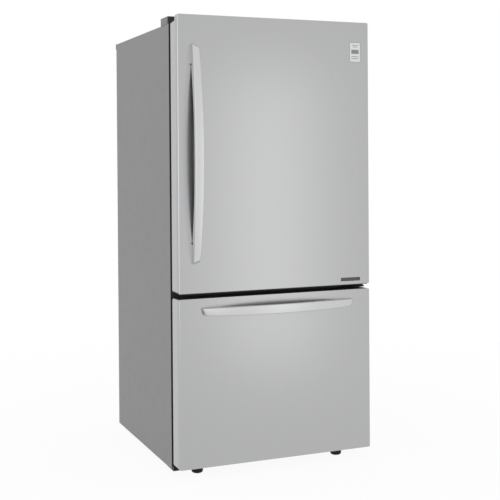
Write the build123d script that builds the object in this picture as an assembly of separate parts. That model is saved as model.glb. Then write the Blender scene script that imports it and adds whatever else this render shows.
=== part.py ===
"""Bottom freezer refrigerator, in millimetres.

+Z is up and the doors face -Y. The origin is on the floor, under the middle of the whole.
"""

from build123d import *
import os
from math import atan, cos, pi, radians, sin, sqrt, tan

# Overall form
cabinet_width = 832.0
handle_projection = 55.0
spacer_depth = 8.0  # the corner spacers behind the cabinet
floor_to_door = 46.0
freezer_door_height = 652.0
door_gap = 21.5
fridge_door_height = 1066.5
cabinet_top_drop = 26.0  # the cabinet's top below the fridge door's
cabinet_skirt = 19.0  # the cabinet's lower edge below the freezer door's

# Running and fitting clearances
gap = 0.3
pin_clearance = 0.08
tub_band = 8.0  # the upright part of a moulded box's walls

# Cabinet
sheet = 1.0
bend_radius = 3.0
liner_wall = 2.0
cavity_radius = 16.0
side_wall = 43.0
top_wall = 48.0
back_wall = 60.0
divider_thickness = 62.0
floor_wall = 62.0
centre_rail_lip = 10.0
machine_depth = 235.0
machine_height = 250.0
machine_wall = 50.0
spacer_width = 30.0
spacer_height = 25.0
bead_radius = 4.0
bead_share = 0.8  # of the back panel's height

# Base
base_height = 16.0
base_sheet = 2.0
front_beam_reach = 20.0  # ahead of the cabinet's front
front_beam_depth = 60.0
beam_drop = 2.0  # below the cabinet's lower edge
base_rail_width = 40.0
foot_inset = 109.0  # the foot's axis from the cabinet's side
foot_setback = 12.0  # the foot's axis behind the cabinet's front
foot_radius = 23.0
foot_round = 9.0
foot_height = 21.0
foot_stud_radius = 5.0
foot_collar = 8.0
roller_radius = 20.0
roller_width = 18.0
roller_inset = 52.0
roller_setback = 60.0
roller_gap = 4.0
axle_radius = 4.0
bracket_wall = 3.0
bracket_drop = 14.0

# Doors
door_thickness = 68.0
seal_depth = 22.0  # the doors' backs to the cabinet's front
edge_radius = 9.0
corner_radius = 10.0
door_sheet = 1.0
lip_depth = 19.0
step_front = 24.0
step_back = 30.0
cap_height = 8.0
cap_reveal = 3.0
top_cap_height = 12.0
gasket_inset = 26.0
gasket_width = 16.0
gasket_foot = 4.0
gasket_neck = 8.0
gasket_cabinet_lap = 15.0
gasket_lap = 1.0  # over a compartment's edge
bulb_inset = 1.0
door_liner_wall = 2.0
dike_inset = 66.0  # the fridge door's ridges from its sides
dike_width = 25.0
dike_depth = 82.0
dike_draft = 3.0
dike_round = 6.0
dike_margin = 42.0
dike_end_gap = 14.0  # from a compartment's ends
freezer_dike_gap = 30.0  # the freezer door's ridges from the compartment's walls
freezer_dike_reach = 3.0  # beyond the cabinet's front

# Handles
handle_end_width = 28.0
handle_middle_width = 36.0
handle_thickness = 14.0
handle_end_stand = 16.0
handle_foot_length = 78.0
handle_bevel = 3.0
fridge_handle_margin = 112.0
fridge_handle_inset = 73.5
freezer_handle_left = 94.0
freezer_handle_right = 83.0
freezer_handle_drop = 51.0

# Hinges
door_opening = 115.0
hinge_inset = 24.0
pin_radius = 5.0
hinge_plate = 4.0
hinge_plate_inset = 8.0
hinge_plate_front = 6.0
hinge_plate_back = 10.0
hinge_plate_corner = 6.0
hinge_arm_root = 12.0
hinge_arm_clearance = 1.0
middle_arm_lift = 6.0
middle_arm_width = 56.0
middle_arm_end = 14.0
middle_arm_flare = 12.0
middle_plate_reach = 6.0
middle_plate_margin = 4.0
washer_radius = 9.0
cover_width = 86.0
cover_length = 92.0
cover_setback = 10.0
cover_height = 29.0
cover_wall = 2.0
cover_rounding = 5.0
tongue_clearance = 1.0  # behind the door's front lip
tongue_drop = 1.5

# Door furniture
bin_reach = 190.0  # from the doors' faces
bin_wall = 2.5
bin_draft = 5.0
bin_corner = 22.0
bin_rim = 5.0
bin_rim_height = 4.0
lug_length = 18.0
lug_height = 8.0
lug_hold = 8.0  # of the front lugs on the ridges, behind the ridges' tips
bin_levels = {"lower": (74.0, 122.0), "middle": (322.0, 108.0), "upper": (550.0, 96.0)}
dairy_drop = 62.5  # below the fridge ceiling
dairy_height = 150.0
dairy_wall = 2.5
dairy_lip = 62.0
dairy_pin_radius = 3.0
dairy_pivot_inset = 8.0
dairy_corner = 6.0
dairy_mouth_gap = 6.0  # ahead of the cover's pins
dairy_bow_low = 6.0
dairy_bow_top = 5.0
dairy_cover_rise = 4.0
dairy_hub_wall = 2.0
dairy_cover_thickness = 3.0

# Fridge interior
shelf_clearance = 15.0  # the door bins to the shelves' fronts
track_width = 16.0
track_depth = 8.0
track_sheet = 1.5
track_inset = 26.0
track_drop = 82.25  # below the fridge ceiling
track_length = 650.0
slot_pitch = 50.0
slot_width = 2.6
slot_height = 14.0
column_offset = 4.0
bracket_sheet = 2.0
bracket_front = 14.0
bracket_back = 38.0
hook_height = 11.0
hook_back_gap = 2.0
arm_tip = 4.0
arm_root_length = 60.0
glass_thickness = 4.0
glass_back_gap = 6.0
glass_lap = 5.0
trim_height = 12.0
trim_depth = 12.0
trim_rise = 2.0
rear_bar_setback = 8.0
rear_bar_depth = 6.0
rear_bar_height = 8.0
shelf_slots = ((-1, 3), (-1, 8), (1, 4), (1, 8))  # side, and the slot that it hangs from
duct_half_width = 110.0
duct_depth = 6.0
duct_margin = 24.0
duct_corner = 10.0
duct_slot_gap = 2.0
vent_length = 62.0
vent_height = 7.0
vent_rows = 6

# Crispers
crisper_level = 196.0  # the cover shelf's underside above the fridge floor
crisper_rail_level = 141.0
ledge_width = 12.0
ledge_height = 6.0
crisper_depth = 458.0
crisper_setback = 12.0  # behind the cover shelf's front
crisper_wall = 2.5
crisper_draft = 8.0
crisper_corner = 14.0
crisper_flange = 10.0
crisper_flange_thickness = 3.0
crisper_front_height = 166.0
crisper_front_thickness = 4.0
crisper_front_chamfer = 5.0
crisper_rail_gap = 2.0  # from the crispers' fronts to their rails
crisper_floor_gap = 6.0
crisper_side_gap = 4.0
grip_reach = 9.0
grip_half_width = 80.0
grip_root_drop = 4.0
grip_root_height = 5.0
grip_tip_drop = 12.0
grip_tip_height = 3.0
centre_web = 6.0
centre_foot = 26.0
cover_shelf_height = 10.0
cover_shelf_depth = 480.0
cover_shelf_border = 22.0
cover_trim_height = 30.0
cover_trim_sheet = 3.0
slider_travel = 40.0
slider_width = 14.0
slider_slot_height = 5.0
slider_drop = 7.0  # below the cover shelf's underside
slider_offset = 180.0
neck_reach = 1.5
knob_reach = 5.0
knob_rise = 2.5
knob_chamfer = 1.5
retainer_lap = 2.0
retainer_sheet = 1.5

# Ceiling panel and lamp
panel_half_width = 190.0
panel_depth = 170.0
panel_height = 26.0
panel_slope = 20.0
panel_wall = 2.5
panel_nose = 8.0
button_radius = 8.0
button_height = 7.0
button_flange = 2.0
button_flange_sheet = 2.0
button_drop = 2.5  # below the panel
button_setback = 60.0
button_spacing = 90.0
lens_half_width = 110.0
lens_depth = 100.0
lens_height = 12.0

# Freezer drawer
slide_level = 201.0  # the outer slide's underside above the freezer floor
slide_height = 46.0
slide_width = 14.0
slide_sheet = 1.5
slide_length = 455.0
slide_setback = 8.0
slide_end_gap = 7.0  # between the slides and the step over the machine space
frame_sheet = 2.0
frame_flange = 14.0
frame_height = 34.0
frame_foot = 10.0
frame_foot_reach = 60.0
frame_notch_gap = 2.0
frame_notch_reach = 6.0
gear_module = 4.0
gear_teeth = 9
pressure_angle = 25.0
gear_addendum = 2.5
gear_dedendum = 3.7
gear_backlash = 0.5
gear_tip_gap = 0.2
gear_width = 9.0
gear_wall_gap = 2.0
shaft_radius = 5.0
shaft_setback = 23.0  # ahead of the step over the machine space
shaft_drop = 28.0  # below the outer slide's underside
bearing_radius = 13.0
rack_body = 7.0
rack_setback = 2.0
pinion_hub_wall = 3.0
basket_wall = 3.0
basket_rim = 15.0
basket_rim_gap = 2.0
basket_rim_height = 3.0
basket_floor_gap = 8.0
basket_draft = 14.0
basket_corner = 20.0
basket_side_gap = 2.0
basket_door_gap = 14.0
basket_gear_gap = 8.0
hand_slot_length = 110.0
hand_slot_height = 24.0
hand_slot_drop = 34.0
hand_slot_offset = 150.0
hand_slot_depth = 16.0
tray_length = 300.0
tray_height = 130.0
tray_wall = 2.5
tray_side_gap = 7.0
tray_front_gap = 2.0
tray_draft = 4.0
tray_corner = 16.0

# Cold air
evaporator_space = 65.0
evaporator_cover_sheet = 3.0
air_slot_length = 150.0
air_slot_height = 8.0
air_slot_pitch = 22.0
air_slot_drop = 40.0
air_slot_rows = 4
return_slot_length = 220.0
return_slot_height = 10.0
return_slot_lift = 18.0
evaporator_half_width = 300.0
evaporator_height = 170.0
evaporator_lift = 20.0
evaporator_depth = 48.0
fin_count = 12
fin_thickness = 3.0
coil_radius = 4.0
fin_reach = 8.0  # the fins beyond the core
bend_rows = 3
bend_root = 1.0
cold_fan_radius = 48.0
cold_fan_drop = 85.0
fan_hub_radius = 15.0
fan_blades = 5
fan_blade_sheet = 2.0
blade_pitch = 24.0
fan_tip_clearance = 2.5
blade_root_half = 7.0
blade_root_depth = 3.0
spider_sheet = 4.0
spider_half_width = 4.0
collar_wall = 2.0
motor_radius = 20.0
motor_length = 20.0
motor_shaft_radius = 3.0
hub_lead = 3.0  # the fans' hubs behind the faces of their plates
cold_hub = 14.0
cold_collar = 22.0
warm_hub = 18.0

# Machine space
compressor_inset = 181.0  # from the cabinet's side
compressor_radius = 82.0
compressor_height = 165.0
compressor_round = 38.0
compressor_plate = 4.0
compressor_plate_reach = 10.0
compressor_plate_inset = 14.0
grommet_radius = 10.0
grommet_height = 10.0
grommet_inset = 14.0
stub_radius = 4.0
stub_length = 22.0
stub_spacing = 30.0
stub_offset = 20.0
stub_root = 9.0
terminal_reach = 18.0
terminal_half = 22.0
pan_height = 24.0
pan_wall = 2.0
pan_margin = 8.0
pan_rib_inset = 20.0
pan_rim_gap = 2.0
condenser_width = 250.0
condenser_height = 130.0
condenser_depth = 150.0
condenser_setback = 25.0
shroud_gap = 62.0  # beside the condenser
shroud_clearance = 2.0
shroud_corner = 6.0
shroud_sheet = 3.0
shroud_height = 218.0
warm_fan_radius = 76.0
warm_collar = 26.0
louvre_rows = 7
louvre_length = 130.0
louvre_height = 6.0
louvre_pitch = 18.0
louvre_lift = 70.0
gland_radius = 9.0
gland_lift = 40.0
gland_reach = 3.0

# Places worked out from the sizes above
half_width = cabinet_width / 2
slide_reach = seal_depth + slide_setback + slide_length  # from the doors' backs
door_to_back = door_thickness + slide_reach + slide_end_gap + machine_wall + machine_depth
overall_depth = handle_projection + door_to_back + spacer_depth
face_y = handle_projection - overall_depth / 2
door_back_y = face_y + door_thickness
front_y = door_back_y + seal_depth
back_y = face_y + door_to_back
freezer_door_top = floor_to_door + freezer_door_height
fridge_door_bottom = freezer_door_top + door_gap
fridge_door_top = fridge_door_bottom + fridge_door_height
fridge_door_z = (fridge_door_bottom, fridge_door_top)
freezer_door_z = (floor_to_door, freezer_door_top)
cabinet_top = fridge_door_top - cabinet_top_drop
cabinet_bottom = floor_to_door - cabinet_skirt
base_top = cabinet_bottom + base_height
inner_x = half_width - side_wall
divider_middle = (freezer_door_top + fridge_door_bottom) / 2
fridge_floor = divider_middle + divider_thickness / 2
fridge_ceiling = cabinet_top - top_wall
fridge_back = back_y - back_wall
freezer_floor = cabinet_bottom + floor_wall
freezer_ceiling = divider_middle - divider_thickness / 2
machine_y = back_y - machine_depth
machine_top = cabinet_bottom + machine_height
step_y = machine_y - machine_wall
step_z = machine_top + machine_wall
hinge_x = half_width - hinge_inset
hinge_y = face_y + door_thickness / 2
tongue_radius = hinge_y - face_y - lip_depth - tongue_clearance
step_start_z = fridge_door_top - step_front
step_end_z = fridge_door_top - step_back
dike_half_width = half_width - dike_inset
freezer_dike_half = inner_x - freezer_dike_gap
bin_back_y = door_back_y + gap
bin_front_y = face_y + bin_reach
bin_half_width = dike_half_width - dike_width - dike_draft - lug_height
dairy_z = (fridge_ceiling - dairy_drop - dairy_height, fridge_ceiling - dairy_drop)
dairy_pivot = (bin_front_y - dairy_pivot_inset, dairy_z[1] - dairy_pivot_inset)
shelf_front_y = bin_front_y + shelf_clearance
track_front_y = fridge_back - track_depth
track_z = (fridge_ceiling - track_drop - track_length, fridge_ceiling - track_drop)
crisper_rail_z = fridge_floor + crisper_rail_level
cover_shelf_z = fridge_floor + crisper_level
slide_z = freezer_floor + slide_level
slide_y = (front_y + slide_setback, front_y + slide_setback + slide_length)
pitch_radius = gear_module * gear_teeth / 2
gear_pitch = pi * gear_module
shaft_y = step_y - shaft_setback
shaft_z = slide_z - shaft_drop
rack_pitch_z = shaft_z - pitch_radius
frame_x = inner_x - slide_width
frame_z = slide_z + (slide_height - frame_height) / 2
basket_rim_z = frame_z + frame_height
evaporator_cover_y = fridge_back - evaporator_space
cold_fan_z = freezer_ceiling - cold_fan_drop
compressor_x = half_width - compressor_inset
condenser_left = sheet + condenser_setback - half_width
condenser_x = (condenser_left, condenser_left + condenser_width)
shroud_x = condenser_x[1] + shroud_gap
warm_fan_y = (machine_y + back_y) / 2
warm_fan_z = base_top + shroud_height / 2


def limits_size(limits):
    """Length between two limits."""
    return limits[1] - limits[0]


def limits_middle(limits):
    """Middle of two limits."""
    return (limits[0] + limits[1]) / 2


def block(x, y, z):
    """Rectangular solid between its limits on each axis."""
    middle = Pos(limits_middle(x), limits_middle(y), limits_middle(z))
    return middle * Box(limits_size(x), limits_size(y), limits_size(z))


def rectangle(a, b, radius=0.0):
    """Sketched rectangle between its limits, with round corners if a radius is given."""
    middle = Pos(limits_middle(a), limits_middle(b))
    if radius > 0:
        return middle * RectangleRounded(limits_size(a), limits_size(b), radius)
    return middle * Rectangle(limits_size(a), limits_size(b))


def disc(a, b, radius):
    """Sketched circle."""
    return Pos(a, b) * Circle(radius)


def along_x(sketch, x):
    """Solid of a (Y, Z) sketch between two X limits."""
    return extrude(Plane.YZ.offset(x[0]) * sketch, limits_size(x))


def along_y(sketch, y):
    """Solid of an (X, Z) sketch between two Y limits."""
    return extrude(Plane.XZ.offset(-y[1]) * sketch, limits_size(y))


def along_z(sketch, z):
    """Solid of an (X, Y) sketch between two Z limits."""
    return extrude(Plane.XY.offset(z[0]) * sketch, limits_size(z))


def grown(limits, amount):
    """Limits moved outwards by an amount at both ends."""
    return (limits[0] - amount, limits[1] + amount)


def centred(half):
    """Limits from -half to half."""
    return (-half, half)


def around(middle, half):
    """Limits at a half size to both sides of a middle."""
    return (middle - half, middle + half)


def both_sides(part):
    """A part and its mirror image across the middle of the refrigerator."""
    return part + mirror(part, about=Plane.YZ)


def tapered_block(x, y, z, draft, corner):
    """Block whose walls lean in by draft at its lower end."""
    top = rectangle(x, y, corner)
    bottom = rectangle(grown(x, -draft), grown(y, -draft), corner)
    return loft([Plane.XY.offset(z[0]) * bottom, Plane.XY.offset(z[1]) * top])


def tub(x, y, z, wall, draft, corner):
    """Open moulded box between its limits at the rim, upright over a band at its top."""
    band = z[1] - tub_band
    hollow_x, hollow_y = grown(x, -wall), grown(y, -wall)
    outer = tapered_block(x, y, (z[0], band), draft, corner)
    outer += along_z(rectangle(x, y, corner), (band, z[1]))
    inner = tapered_block(hollow_x, hollow_y, (z[0] + wall, band), draft, corner - wall)
    inner += along_z(rectangle(hollow_x, hollow_y, corner - wall), (band, z[1] + 1))
    return outer - inner


# Cabinet


def fridge_space(growth):
    """Space of the fridge compartment, grown outwards behind its front."""
    z = (fridge_floor - growth, fridge_ceiling + growth)
    outline = rectangle(centred(inner_x + growth), z, cavity_radius + growth)
    return along_y(outline, (front_y, fridge_back + growth))


def freezer_space(growth):
    """Space of the freezer compartment, stepped over the machine space, grown outwards.

    Its lower corners are rounded, and its top is flat up to the back.
    """
    low, high = freezer_floor - growth, freezer_ceiling + growth
    step = (step_y + growth, step_z - growth)
    back = fridge_back + growth
    outline = Polygon(
        (front_y, low), (step[0], low), step, (back, step[1]), (back, high), (front_y, high),
        align=None,
    )
    lower = outline.vertices().filter_by(lambda v: v.X > front_y + 1 and v.Y < high - 1)
    corners = lower.filter_by(lambda v: (Vector(v) - Vector(*step)).length > 1)
    outline = fillet(corners, cavity_radius + growth)
    nose = outline.vertices().sort_by_distance(Vector(*step))[0]
    outline = fillet(nose, cavity_radius - growth)
    return along_x(outline, centred(inner_x + growth))


def outer_wrap():
    """Painted steel folded over both sides and the top, with its front flange."""
    z = (cabinet_bottom, cabinet_top)
    outline = rectangle(centred(half_width), (z[0] - bend_radius, z[1]), bend_radius)
    hollow_z = (z[0] - bend_radius, z[1] - sheet)
    hollow = rectangle(centred(half_width - sheet), hollow_z, bend_radius - sheet)
    opening = rectangle(centred(inner_x + liner_wall), (z[0], fridge_ceiling + liner_wall))
    flange = along_y(outline - opening, (front_y, front_y + sheet))
    flange -= block(centred(half_width - sheet), (front_y, front_y + sheet), (0, base_top))
    shell = along_y(outline - hollow, (front_y, back_y)) + flange
    return shell & block(centred(half_width), (front_y, back_y), z)


def back_panel():
    """Steel back above the machine space, stiffened by three pressed beads."""
    z = (machine_top, cabinet_top - sheet)
    outline = rectangle(centred(half_width - sheet), z, bend_radius)
    panel = along_y(outline, (back_y - sheet, back_y))
    for x in (-1, 0, 1):
        middle = x * half_width / 2
        bead_z = grown(z, (bead_share - 1) * limits_size(z) / 2)
        bead = Polygon(
            (middle - bead_radius, back_y - sheet),
            (middle + bead_radius, back_y - sheet),
            (middle + bead_radius / 2, back_y + bead_radius),
            (middle - bead_radius / 2, back_y + bead_radius),
            align=None,
        )
        panel += along_z(bead, bead_z)
    return panel


def back_spacers():
    """Plastic corner spacers that hold the cabinet off the wall."""
    x = (half_width - spacer_width, half_width)
    y = (back_y, back_y + spacer_depth)
    spacer = block(x, y, (cabinet_top - spacer_height, cabinet_top))
    edges = spacer.edges().filter_by(Axis.X).sort_by(Axis.Y)[-2:]
    return both_sides(chamfer(edges, spacer_depth / 2))


def machine_space():
    """Space at the lower back that holds the machine."""
    return block(centred(half_width - sheet), (machine_y, back_y), (base_top - 1, machine_top))


def cabinet_insulation():
    """Foam body around both compartments and over the machine space."""
    outline = rectangle(centred(half_width - sheet), (base_top, cabinet_top - sheet), bend_radius - sheet)
    foam = along_y(outline, (front_y + sheet, back_y - sheet))
    rail_z = (freezer_ceiling + liner_wall, fridge_floor - liner_wall)
    rail = block(centred(inner_x + liner_wall), (front_y, front_y + centre_rail_lip), rail_z)
    return foam - fridge_space(liner_wall) - freezer_space(liner_wall) - machine_space() - rail


def fridge_liner():
    """Moulded fridge liner with the ledges that carry the crispers and their cover."""
    liner = fridge_space(liner_wall) - fridge_space(0)
    x = (inner_x - ledge_width, inner_x + liner_wall / 2)
    back = shelf_front_y + cover_shelf_depth
    for top, front in ((crisper_rail_z, crisper_rail_y()), (cover_shelf_z, shelf_front_y)):
        ledge = block(x, (front, back), (top - ledge_height, top))
        liner += both_sides(ledge)
    return liner


def crisper_rail_y():
    """Y of the front ends of the rails that the crispers run on, behind their fronts."""
    return shelf_front_y + crisper_setback + crisper_front_thickness + crisper_rail_gap


def freezer_liner():
    """Moulded freezer liner, stepped over the machine space."""
    return freezer_space(liner_wall) - freezer_space(0)


def centre_rail():
    """Steel channel across the divider's front, between the two openings."""
    z = (freezer_ceiling + liner_wall, fridge_floor - liner_wall)
    y = (front_y, front_y + centre_rail_lip)
    rail = block(centred(inner_x + liner_wall), y, z)
    return rail - block(centred(inner_x), (y[0] + sheet, y[1]), grown(z, -sheet))


# Base


def foot_places():
    """X of the two levelling feet."""
    return (-(half_width - foot_inset), half_width - foot_inset)


def roller_x():
    """X limits of the right rear roller."""
    middle = half_width - roller_inset
    return (middle - roller_width / 2, middle + roller_width / 2)


def base_frame():
    """Steel base: floor pan, front beam that takes the feet, and rear roller brackets."""
    z = (cabinet_bottom, base_top)
    x = centred(half_width - sheet)
    pan = block(x, (front_y + sheet, back_y - base_sheet), (base_top - base_sheet, base_top))
    beam_y = (front_y - front_beam_reach, front_y + front_beam_depth)
    beam = along_x(rectangle(beam_y, (cabinet_bottom - beam_drop, base_top), bend_radius), x)
    side_x = (x[1] - base_rail_width, x[1])
    rail = block(side_x, (beam_y[1], back_y - base_sheet), z)
    rail -= block(grown(side_x, -base_sheet), (beam_y[1], back_y), (z[0], z[1] - base_sheet))
    frame = pan + beam + both_sides(rail)
    wheel_y = back_y - roller_setback
    bay = roller_radius + roller_gap
    x = roller_x()
    well = block(grown(x, gap), (wheel_y - bay, wheel_y + bay), (0, base_top + roller_radius))
    frame -= both_sides(well)
    hood_y = (wheel_y - bay - bracket_wall, wheel_y + bay + bracket_wall)
    hood_z = (cabinet_bottom - bracket_drop, base_top)
    hood = block(grown(x, gap + bracket_wall), hood_y, hood_z)
    hood -= block(grown(x, gap), (wheel_y - bay, wheel_y + bay), (0, base_top - base_sheet))
    hood += along_x(disc(wheel_y, roller_radius, axle_radius), grown(x, gap))
    frame += both_sides(hood)
    for foot_x in foot_places():
        place = disc(foot_x, front_y + foot_setback, foot_stud_radius + pin_clearance)
        frame -= along_z(place, (0, base_top + 1))
    return frame


def levelling_foot(x):
    """Turned foot: round-edged pad, adjusting collar and stud."""
    outline = Polygon(
        (0, 0), (foot_radius - foot_round, 0), (foot_radius, foot_round), (foot_radius, foot_height),
        (0, foot_height), align=None,
    )
    pad = revolve(Plane.XZ * outline, Axis.Z)
    collar_top = cabinet_bottom - beam_drop - gap
    collar = along_z(RegularPolygon(foot_collar, 6), (foot_height, collar_top))
    stud = along_z(Circle(foot_stud_radius), (collar_top, base_top - base_sheet / 2))
    return Pos(x, front_y + foot_setback, 0) * (pad + collar + stud)


def rear_roller(side):
    """Plastic roller with a bore for its axle."""
    x = roller_x()
    wheel_y = back_y - roller_setback
    wheel = along_x(disc(wheel_y, roller_radius, roller_radius), grown(x, -gap))
    wheel -= along_x(disc(wheel_y, roller_radius, axle_radius + pin_clearance), x)
    return wheel if side > 0 else mirror(wheel, about=Plane.YZ)


# Machine space


def machine_cover():
    """Rear cover with two groups of louvres, and the gland for the cord."""
    y = (back_y - 2 * sheet, back_y)
    z = (cabinet_bottom, machine_top)
    cover = block(centred(half_width - sheet), y, z)
    slots = Sketch()
    for side in (-1, 1):
        for row in range(louvre_rows):
            level = z[0] + louvre_lift + row * louvre_pitch
            slots += Pos(side * half_width / 2, level) * Rectangle(louvre_length, louvre_height)
    cover -= along_y(slots, grown(y, 1))
    gland_z = z[0] + gland_lift
    cover -= along_y(disc(0, gland_z, gland_radius / 2), grown(y, 1))
    collar = disc(0, gland_z, gland_radius) - disc(0, gland_z, gland_radius / 2)
    return cover + along_y(collar, grown(y, gland_reach))


def compressor():
    """Welded steel compressor on a foot plate with four grommets, and its pipe stubs."""
    low = grommet_height + compressor_plate
    high = low + compressor_height
    neck = compressor_radius - compressor_round
    profile = Polygon(
        (0, low), (neck, low), (compressor_radius, low + compressor_round / 2),
        (compressor_radius, high - compressor_round), (neck, high), (0, high), align=None,
    )
    body = revolve(Plane.XZ * profile, Axis.Z)
    half_x = compressor_radius + compressor_plate_reach
    half_y = compressor_radius - compressor_plate_inset
    body += block(centred(half_x), centred(half_y), (grommet_height, low))
    for x in (-1, 1):
        for y in (-1, 1):
            place = Pos(x * (half_x - grommet_inset), y * (half_y - grommet_inset))
            body += along_z(place * RegularPolygon(grommet_radius, 8), (0, grommet_height))
    for x in centred(stub_spacing):
        stub = Pos(x, stub_offset) * RegularPolygon(stub_radius, 8)
        body += along_z(stub, (high - stub_root, high + stub_length))
    terminal_x = (-compressor_radius - terminal_reach, 0)
    terminal_z = around((low + high) / 2, terminal_half)
    body += block(terminal_x, centred(terminal_half), terminal_z)
    return Pos(compressor_x, warm_fan_y, base_top) * body


def finned_block(x, y, z, count, thickness):
    """Heat exchanger: upright fins across a core of plates, with its return bends."""
    core_y = grown(y, -limits_size(y) / 3)
    core = block(x, core_y, grown(z, -fin_reach))
    pitch = (limits_size(x) - thickness) / (count - 1)
    for index in range(count):
        start = x[0] + index * pitch
        core += block((start, start + thickness), y, z)
    spacing = limits_size(z) / (bend_rows + 1)
    half = spacing / 3
    for row in range(bend_rows):
        level = z[0] + spacing * (row + 1)
        bore = half - 2 * coil_radius
        bend = rectangle((x[1] - bend_root, x[1] + half), around(level, half))
        bend -= rectangle((x[1] - 2 * bend_root, x[1] + bore), around(level, bore))
        bend = chamfer(bend.vertices().group_by(Axis.X)[-1], coil_radius)
        core += along_y(bend, around(limits_middle(y), coil_radius))
    return core


def condenser():
    """Finned condenser over the drain pan."""
    y = around(warm_fan_y, condenser_depth / 2)
    z = (base_top + pan_height, base_top + pan_height + condenser_height)
    return finned_block(condenser_x, y, z, fin_count, fin_thickness)


def drain_pan():
    """Evaporation pan under the condenser, which stands on its two ribs."""
    x = grown(condenser_x, pan_margin)
    y = around(warm_fan_y, condenser_depth / 2 + pan_margin)
    z = (base_top, base_top + pan_height - pan_rim_gap)
    pan = block(x, y, z) - block(grown(x, -pan_wall), grown(y, -pan_wall), (z[0] + pan_wall, z[1] + 1))
    rib_z = (base_top + pan_wall, base_top + pan_height)
    rib = block(grown(condenser_x, -pan_rib_inset), centred(pan_wall), rib_z)
    for shift in centred(condenser_depth / 4):
        pan += Pos(0, warm_fan_y + shift, 0) * rib
    return pan


def fan(radius, hub_length, pitch):
    """Fan about the Z axis: bored hub and pitched blades that widen towards their tips."""
    rotor = along_z(Circle(fan_hub_radius), centred(hub_length / 2))
    tip = radius * 0.94
    root = fan_hub_radius - blade_root_depth
    outline = Polygon(
        (root, -blade_root_half), (tip, -radius * 0.3), (radius * 0.96, 0), (tip, radius * 0.3),
        (root, blade_root_half), align=None,
    )
    blade = Rot(pitch, 0, 0) * extrude(outline, fan_blade_sheet / 2, both=True)
    for index in range(fan_blades):
        rotor += Rot(0, 0, index * 360 / fan_blades) * blade
    return rotor - along_z(Circle(motor_shaft_radius + pin_clearance), centred(hub_length))


def fan_mount(radius, collar_length, motor_gap):
    """Collar, three-armed spider and motor with its shaft, about the Z axis."""
    bore = radius + fan_tip_clearance
    collar = along_z(Circle(bore + collar_wall) - Circle(bore), (0, collar_length))
    arm_z = (collar_length, collar_length + spider_sheet)
    mount = collar + along_z(Circle(motor_radius), (arm_z[0], arm_z[0] + motor_length))
    for index in range(3):
        arm = block((0, bore + collar_wall), centred(spider_half_width), arm_z)
        mount += Rot(0, 0, 90 + index * 120) * arm
    shaft = along_z(Circle(motor_shaft_radius), (collar_length - motor_gap, arm_z[1]))
    return mount + shaft


def fan_shroud():
    """Upright shroud plate with the condenser fan's collar and motor."""
    x = (shroud_x, shroud_x + shroud_sheet)
    y = (machine_y + shroud_clearance, back_y - 2 * sheet - shroud_clearance)
    plate = along_x(rectangle(y, (base_top, base_top + shroud_height), shroud_corner), x)
    bore = warm_fan_radius + fan_tip_clearance
    plate -= along_x(disc(warm_fan_y, warm_fan_z, bore), x)
    mount = Pos(shroud_x, warm_fan_y, warm_fan_z) * Rot(0, 90, 0) * fan_mount(
        warm_fan_radius, warm_collar, warm_collar - hub_lead
    )
    return plate + mount


def condenser_fan():
    """Five-bladed fan that draws air across the condenser."""
    x = shroud_x + hub_lead + warm_hub / 2
    return Pos(x, warm_fan_y, warm_fan_z) * Rot(0, 90, 0) * fan(warm_fan_radius, warm_hub, blade_pitch)


# Cold air


def evaporator():
    """Finned evaporator at the back of the freezer."""
    z = (step_z + evaporator_lift, step_z + evaporator_lift + evaporator_height)
    y = (fridge_back - evaporator_depth, fridge_back)
    return finned_block(centred(evaporator_half_width), y, z, fin_count, fin_thickness)


def evaporator_cover():
    """Freezer back panel with air slots, and the cold fan's collar and motor behind it."""
    y = (evaporator_cover_y, evaporator_cover_y + evaporator_cover_sheet)
    z = (step_z, freezer_ceiling)
    cover = block(centred(inner_x), y, z)
    bore = cold_fan_radius + fan_tip_clearance
    slots = disc(0, cold_fan_z, bore)
    for side in (-1, 1):
        for row in range(air_slot_rows):
            level = freezer_ceiling - air_slot_drop - row * air_slot_pitch
            slots += Pos(side * inner_x * 0.6, level) * Rectangle(air_slot_length, air_slot_height)
        place = Pos(side * inner_x * 0.45, step_z + return_slot_lift)
        slots += place * Rectangle(return_slot_length, return_slot_height)
    cover -= along_y(slots, grown(y, 1))
    mount = fan_mount(cold_fan_radius, cold_collar, cold_collar - hub_lead)
    return cover + Pos(0, y[0], cold_fan_z) * Rot(-90, 0, 0) * mount


def evaporator_fan():
    """Five-bladed fan that sends cold air up to the compartments."""
    y = evaporator_cover_y + hub_lead + cold_hub / 2
    return Pos(0, y, cold_fan_z) * Rot(-90, 0, 0) * fan(cold_fan_radius, cold_hub, blade_pitch)


def air_duct():
    """Slotted cover of the fridge's air duct, open down its middle for the centre track."""
    y = (fridge_back - duct_depth, fridge_back)
    z = grown(track_z, duct_margin)
    outline = chamfer(rectangle(centred(duct_half_width), z).vertices(), duct_corner)
    outline -= rectangle(centred(track_width / 2 + duct_slot_gap), grown(track_z, duct_slot_gap))
    for side in (-1, 1):
        for row in range(vent_rows):
            level = z[0] + limits_size(z) * (row + 1) / (vent_rows + 1)
            outline -= Pos(side * duct_half_width * 0.56, level) * Rectangle(vent_length, vent_height)
    return along_y(outline, y)


# Fridge interior


def track_x(side):
    """X of a side track, or of the middle one."""
    return side * (inner_x - track_inset)


def slot_z(index):
    """Z of the middle of a track slot."""
    return track_z[0] + slot_pitch * (index + 0.5)


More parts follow.
